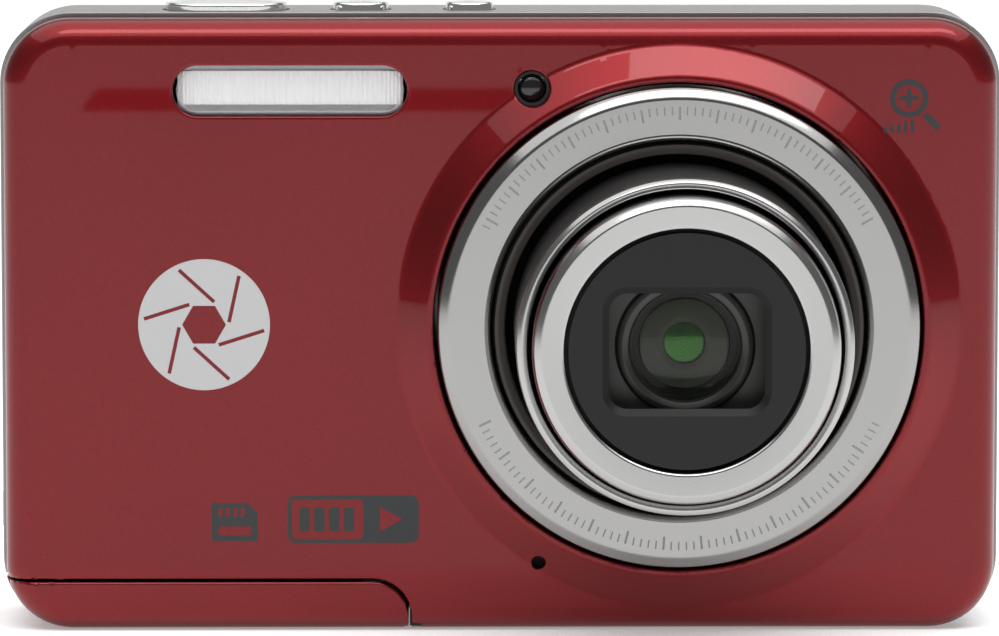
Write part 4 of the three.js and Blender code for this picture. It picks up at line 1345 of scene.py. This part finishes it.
cross_screw("screw_bottom_inner", "z")
cross_screw("screw_bottom_outer", "z")
cross_screw("screw_right_end", "x")


def tripod_bush():
    low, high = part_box("tripod_nut")
    nut = middle("tripod_nut")
    outer, bore = 4.5 * MM, 3.1 * MM
    wall = circle(nut.x, nut.y, outer, 64)
    bush = loft("tripod_bush", [along_z(wall, low.z), along_z(wall, high.z)])
    thread = [along_z(circle(nut.x, nut.y, bore + 0.35 * MM, 64), low.z - 0.05 * MM)]
    turns = 8
    for i in range(turns * 2 + 1):
        z = low.z + 0.3 * MM + i * 0.3 * MM
        radius = bore if i % 2 == 0 else bore + 0.22 * MM
        thread.append(along_z(circle(nut.x, nut.y, radius, 64), z))
    return carve(bush, loft("thread", thread, 60))


fit(settle(tripod_bush()), "camera_body", BRASS, ["tripod_nut"])


# ---------------------------------------------------------------- printed marks


def print_mark(name, loops, body, material, proud=0.02 * MM):
    loops = [divide(loop, 0.5 * MM) for loop in loops]
    fit(plate_from(name, loops, -proud, 0.05 * MM, surface=front_y), body, material)


def strip(x0, z0, x1, z1, width):
    length = math.hypot(x1 - x0, z1 - z0)
    dx, dz = (x1 - x0) / length * width / 2, (z1 - z0) / length * width / 2
    return [(x0 + dz, z0 - dx), (x1 + dz, z1 - dx), (x1 - dz, z1 + dx), (x0 - dz, z0 + dx)]


def iris_badge():
    """A plain badge: a disc with a six-bladed iris cut out of it."""
    cx, cz, radius = -27.03 * MM, 28.28 * MM, 6.0 * MM

    def at(reach, angle):
        return cx + reach * MM * math.cos(angle), cz + reach * MM * math.sin(angle)

    blades = [TAU * k / 6 for k in range(6)]
    loops = [circle(cx, cz, radius, 96), [at(2.0, angle) for angle in blades]]
    for angle in blades:
        loops.append(strip(*at(2.28, angle + 0.1), *at(5.5, angle + 0.95), 0.34 * MM))
    print_mark("iris_badge", loops, "camera_body", BADGE, proud=0.04 * MM)


def ring_loops(cx, cz, radius, width):
    return [circle(cx, cz, radius, 48), circle(cx, cz, radius - width, 48)]


def zoom_mark():
    cx, cz = 37.1 * MM, 48.9 * MM
    loops = ring_loops(cx, cz, 1.75 * MM, 0.5 * MM)
    loops.append(strip(cx + 1.45 * MM, cz - 1.45 * MM, cx + 2.75 * MM, cz - 2.75 * MM, 0.62 * MM))
    cross = [(0.85, 0.2), (0.2, 0.2), (0.2, 0.85), (-0.2, 0.85), (-0.2, 0.2), (-0.85, 0.2)]
    cross += [(-x, -z) for x, z in cross]
    loops.append([(cx + x * MM, cz + z * MM) for x, z in cross])
    for k in range(5):
        x = 34.95 * MM + k * 0.62 * MM
        height = (0.55 + 0.16 * k) * MM
        loops.append(strip(x, 45.75 * MM, x, 45.75 * MM + height, 0.3 * MM))
    print_mark("zoom_mark", loops, "camera_body", PRINT)


def card_mark():
    x0, x1, z0, z1, cut = -26.4 * MM, -22.2 * MM, 8.4 * MM, 11.9 * MM, 0.95 * MM
    outline = [(x0, z0), (x1, z0), (x1, z1 - cut), (x1 - cut, z1), (x0, z1)]
    loops = [outline]
    for k in range(4):
        x = x0 + (0.6 + 0.68 * k) * MM
        loops.append(rounded(x, x + 0.36 * MM, z1 - 1.3 * MM, z1 - 0.4 * MM, 0.1 * MM, 3))
    loops.append(rounded(x0 + 0.6 * MM, x1 - 0.6 * MM, z0 + 0.5 * MM, z0 + 1.35 * MM, 0.2 * MM, 3))
    print_mark("card_mark", loops, "camera_body", PRINT)


def film_mark():
    x0, x1, z0, z1 = -19.45 * MM, -7.5 * MM, 8.21 * MM, 12.57 * MM
    mid = x0 + 6.9 * MM
    loops = [rounded(x0, x1, z0, z1, 0.75 * MM, 6)]
    loops.append(rounded(x0 + 0.34 * MM, mid, z0 + 0.34 * MM, z1 - 0.34 * MM, 0.45 * MM, 6))
    cz = (z0 + z1) / 2
    loops.append([(mid + 1.5 * MM, cz - 1.15 * MM), (mid + 3.6 * MM, cz), (mid + 1.5 * MM, cz + 1.15 * MM)])
    for k in range(4):
        x = x0 + (1.05 + 1.35 * k) * MM
        loops.append(rounded(x, x + 0.95 * MM, cz - 1.1 * MM, cz + 1.1 * MM, 0.2 * MM, 4))
    print_mark("film_mark", loops, "camera_body", PRINT)


def bezel_scale():
    """Engraved-looking graduation round the lens ring, in two arcs."""
    loops = []
    for first, last in ((30, 152), (206, 334)):
        for degree in range(first, last + 1, 2):
            long = (degree - first) % 10 == 0
            a = math.radians(degree)
            inner, outer = (19.0 if long else 19.45) * MM, 20.2 * MM
            c, s = math.cos(a), math.sin(a)
            width = (0.2 if long else 0.13) * MM
            loops.append(strip(LX + inner * c, LZ + inner * s, LX + outer * c, LZ + outer * s, width))
    scale = plate_from("lens_scale", loops, BEZEL_Y - 0.01 * MM, BEZEL_Y + 0.1 * MM)
    fit(scale, "camera_body", SCALE)


iris_badge()
zoom_mark()
card_mark()
film_mark()
bezel_scale()


def rear_icon(name, node, body, shapes, sink=0.1):
    """A small printed sign in the dish of a rear key."""
    key = middle(node)
    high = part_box(node)[1].y
    loops = [[(key.x + x * MM, key.z + z * MM) for x, z in shape] for shape in shapes]
    fit(plate_from(name, loops, high - (sink + 0.08) * MM, high - sink * MM), body, PRINT)


rear_icon("play_sign", "play_button", "play_key", [[(0.6, -0.8), (0.6, 0.8), (-0.8, 0)]])
bars = [[(-0.9, z - 0.13), (0.9, z - 0.13), (0.9, z + 0.13), (-0.9, z + 0.13)] for z in (-0.6, 0, 0.6)]
rear_icon("menu_sign", "menu_button", "menu_key", bars)
rear_icon("record_sign", "record_button", "record_key", [circle(0, 0, 0.75, 24)])
stem = [(-0.15, -0.8), (0.15, -0.8), (0.15, 0.3), (-0.15, 0.3)]
rear_icon("info_sign", "info_button", "info_key", [stem, circle(0, 0.72, 0.2, 16)])
RING_SIGNS = {"right_sign": (1, 0), "up_sign": (0, 1), "left_sign": (-1, 0), "down_sign": (0, -1)}
for sign, (x, z) in RING_SIGNS.items():
    arrow = [(7.5, 0), (6.75, 0.5), (6.75, -0.5)]
    spots = [(pad.x + (d * x + w * z) * MM, pad.z + (d * z + w * x) * MM) for d, w in arrow]
    top_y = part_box("nav_ring")[1].y
    fit(plate_from(sign, [spots], top_y - 0.12 * MM, top_y), "nav_pad", PRINT)
tray = [(-0.6, 0.45), (-0.5, -0.8), (0.5, -0.8), (0.6, 0.45)]
lid = [(-0.75, 0.6), (0.75, 0.6), (0.75, 0.8), (-0.75, 0.8)]
rear_icon("delete_sign", "delete_button", "delete_key", [tray, lid])


# ---------------------------------------------------------------- CAD pieces that keep their shape

KEPT = {
    "lens_base": (MATT, 0.1),
    "cam_ring": (BLACK, 0.05),
    "focus_cell": (MATT, 0.1),
    "focus_lens": (COATED, 0.0),
    "focus_rod": (STEEL, 0.05),
    "image_sensor": (SENSOR, 0.03),
    "drive_gear": (CREAM, 0.03),
    "drive_gear_shaft": (STEEL, 0.05),
    "motor_pinion": (BRASS, 0.02),
    "zoom_motor": (STEEL, 0.15),
    "flash_tube": (TUBE, 0.0),
    "flash_capacitor": (WRAP, 0.3),
    "microphone": (MATT, 0.1),
    "speaker": (MATT, 0.1),
    "chassis": (BLACK, 0.12),
    "battery": (WRAP, 0.3),
    "memory_card": (CARD, 0.1),
    "card_slot": (STEEL, 0.06),
    "main_board": (BOARD, 0.05),
    "control_board": (BOARD, 0.05),
    "door_hinge_slider": (STEEL, 0.06),
    "door_hinge_pin": (STEEL, 0.06),
    "screen_panel": (SCREEN, 0.08),
    "data_socket": (STEEL, 0.06),
    "strap_lug": (BARREL, 0.12),
}

for name, (material, round_by) in KEPT.items():
    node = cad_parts[name]
    for slot in node.material_slots:
        slot.material = material
    if round_by:
        edge(node, round_by * MM, 2, 40)


# ---------------------------------------------------------------- floor and studio light


def paper(name, scale, glow):
    finish = Finish(name, Metallic=0.0, Emission_Color=shade(1, 1, 1), Emission_Strength=glow)
    grain = finish.noise(scale, 3.0)
    finish.colour(finish.blend(grain, shade(0.90, 0.90, 0.90), shade(0.93, 0.93, 0.93)))
    finish.roughness(0.8 + grain * 0.1)
    return finish.material


def paper_floor():
    material = paper("floor_paper", 120, 0.3)
    sheet = slab("floor", [(-3, 0), (3, 0), (3, -0.002), (-3, -0.002)], -3, 3)
    sheet.location.z = -0.00002
    sheet.data.materials.append(material)


def dark_strip():
    """A black card on the floor, far in front, that draws the dark streak along the top of the cover."""
    outline = [(-0.074, 0.0002), (-0.074, 0.001), (0.014, 0.001), (0.014, 0.0002)]
    card = slab("dark_strip", outline, -0.727, -0.676)
    card.data.materials.append(MATT)


def lamp_panel(name, place, aim, width, height, watts):
    data = bpy.data.lights.new(name, "AREA")
    data.shape = "RECTANGLE"
    data.size = width
    data.size_y = height
    data.energy = watts
    made = bpy.data.objects.new(name, data)
    made.location = place
    made.rotation_euler = (Vector(aim) - Vector(place)).to_track_quat("-Z", "Y").to_euler()
    bpy.context.scene.collection.objects.link(made)


def world_light(strength):
    world = bpy.data.worlds.new("studio")
    bpy.context.scene.world = world
    world.use_nodes = True
    background = world.node_tree.nodes["Background"]
    background.inputs["Color"].default_value = shade(1, 1, 1)
    background.inputs["Strength"].default_value = strength


def white_backdrop():
    material = paper("backdrop_paper", 20, 0.35)
    sheet = slab("backdrop", [(-3, -0.002), (3, -0.002), (3, 1.6), (-3, 1.6)], 2.9, 2.91)
    sheet.data.materials.append(material)


paper_floor()
white_backdrop()
dark_strip()
world_light(0.2)
lamp_panel("overhead", (0, -0.15, 1.3), (0, -0.15, 0), 2.6, 2.6, 30)
lamp_panel("front_softbox", (0.12, -0.40, 0.95), (0, 0, 0.03), 1.1, 0.28, 4.5)
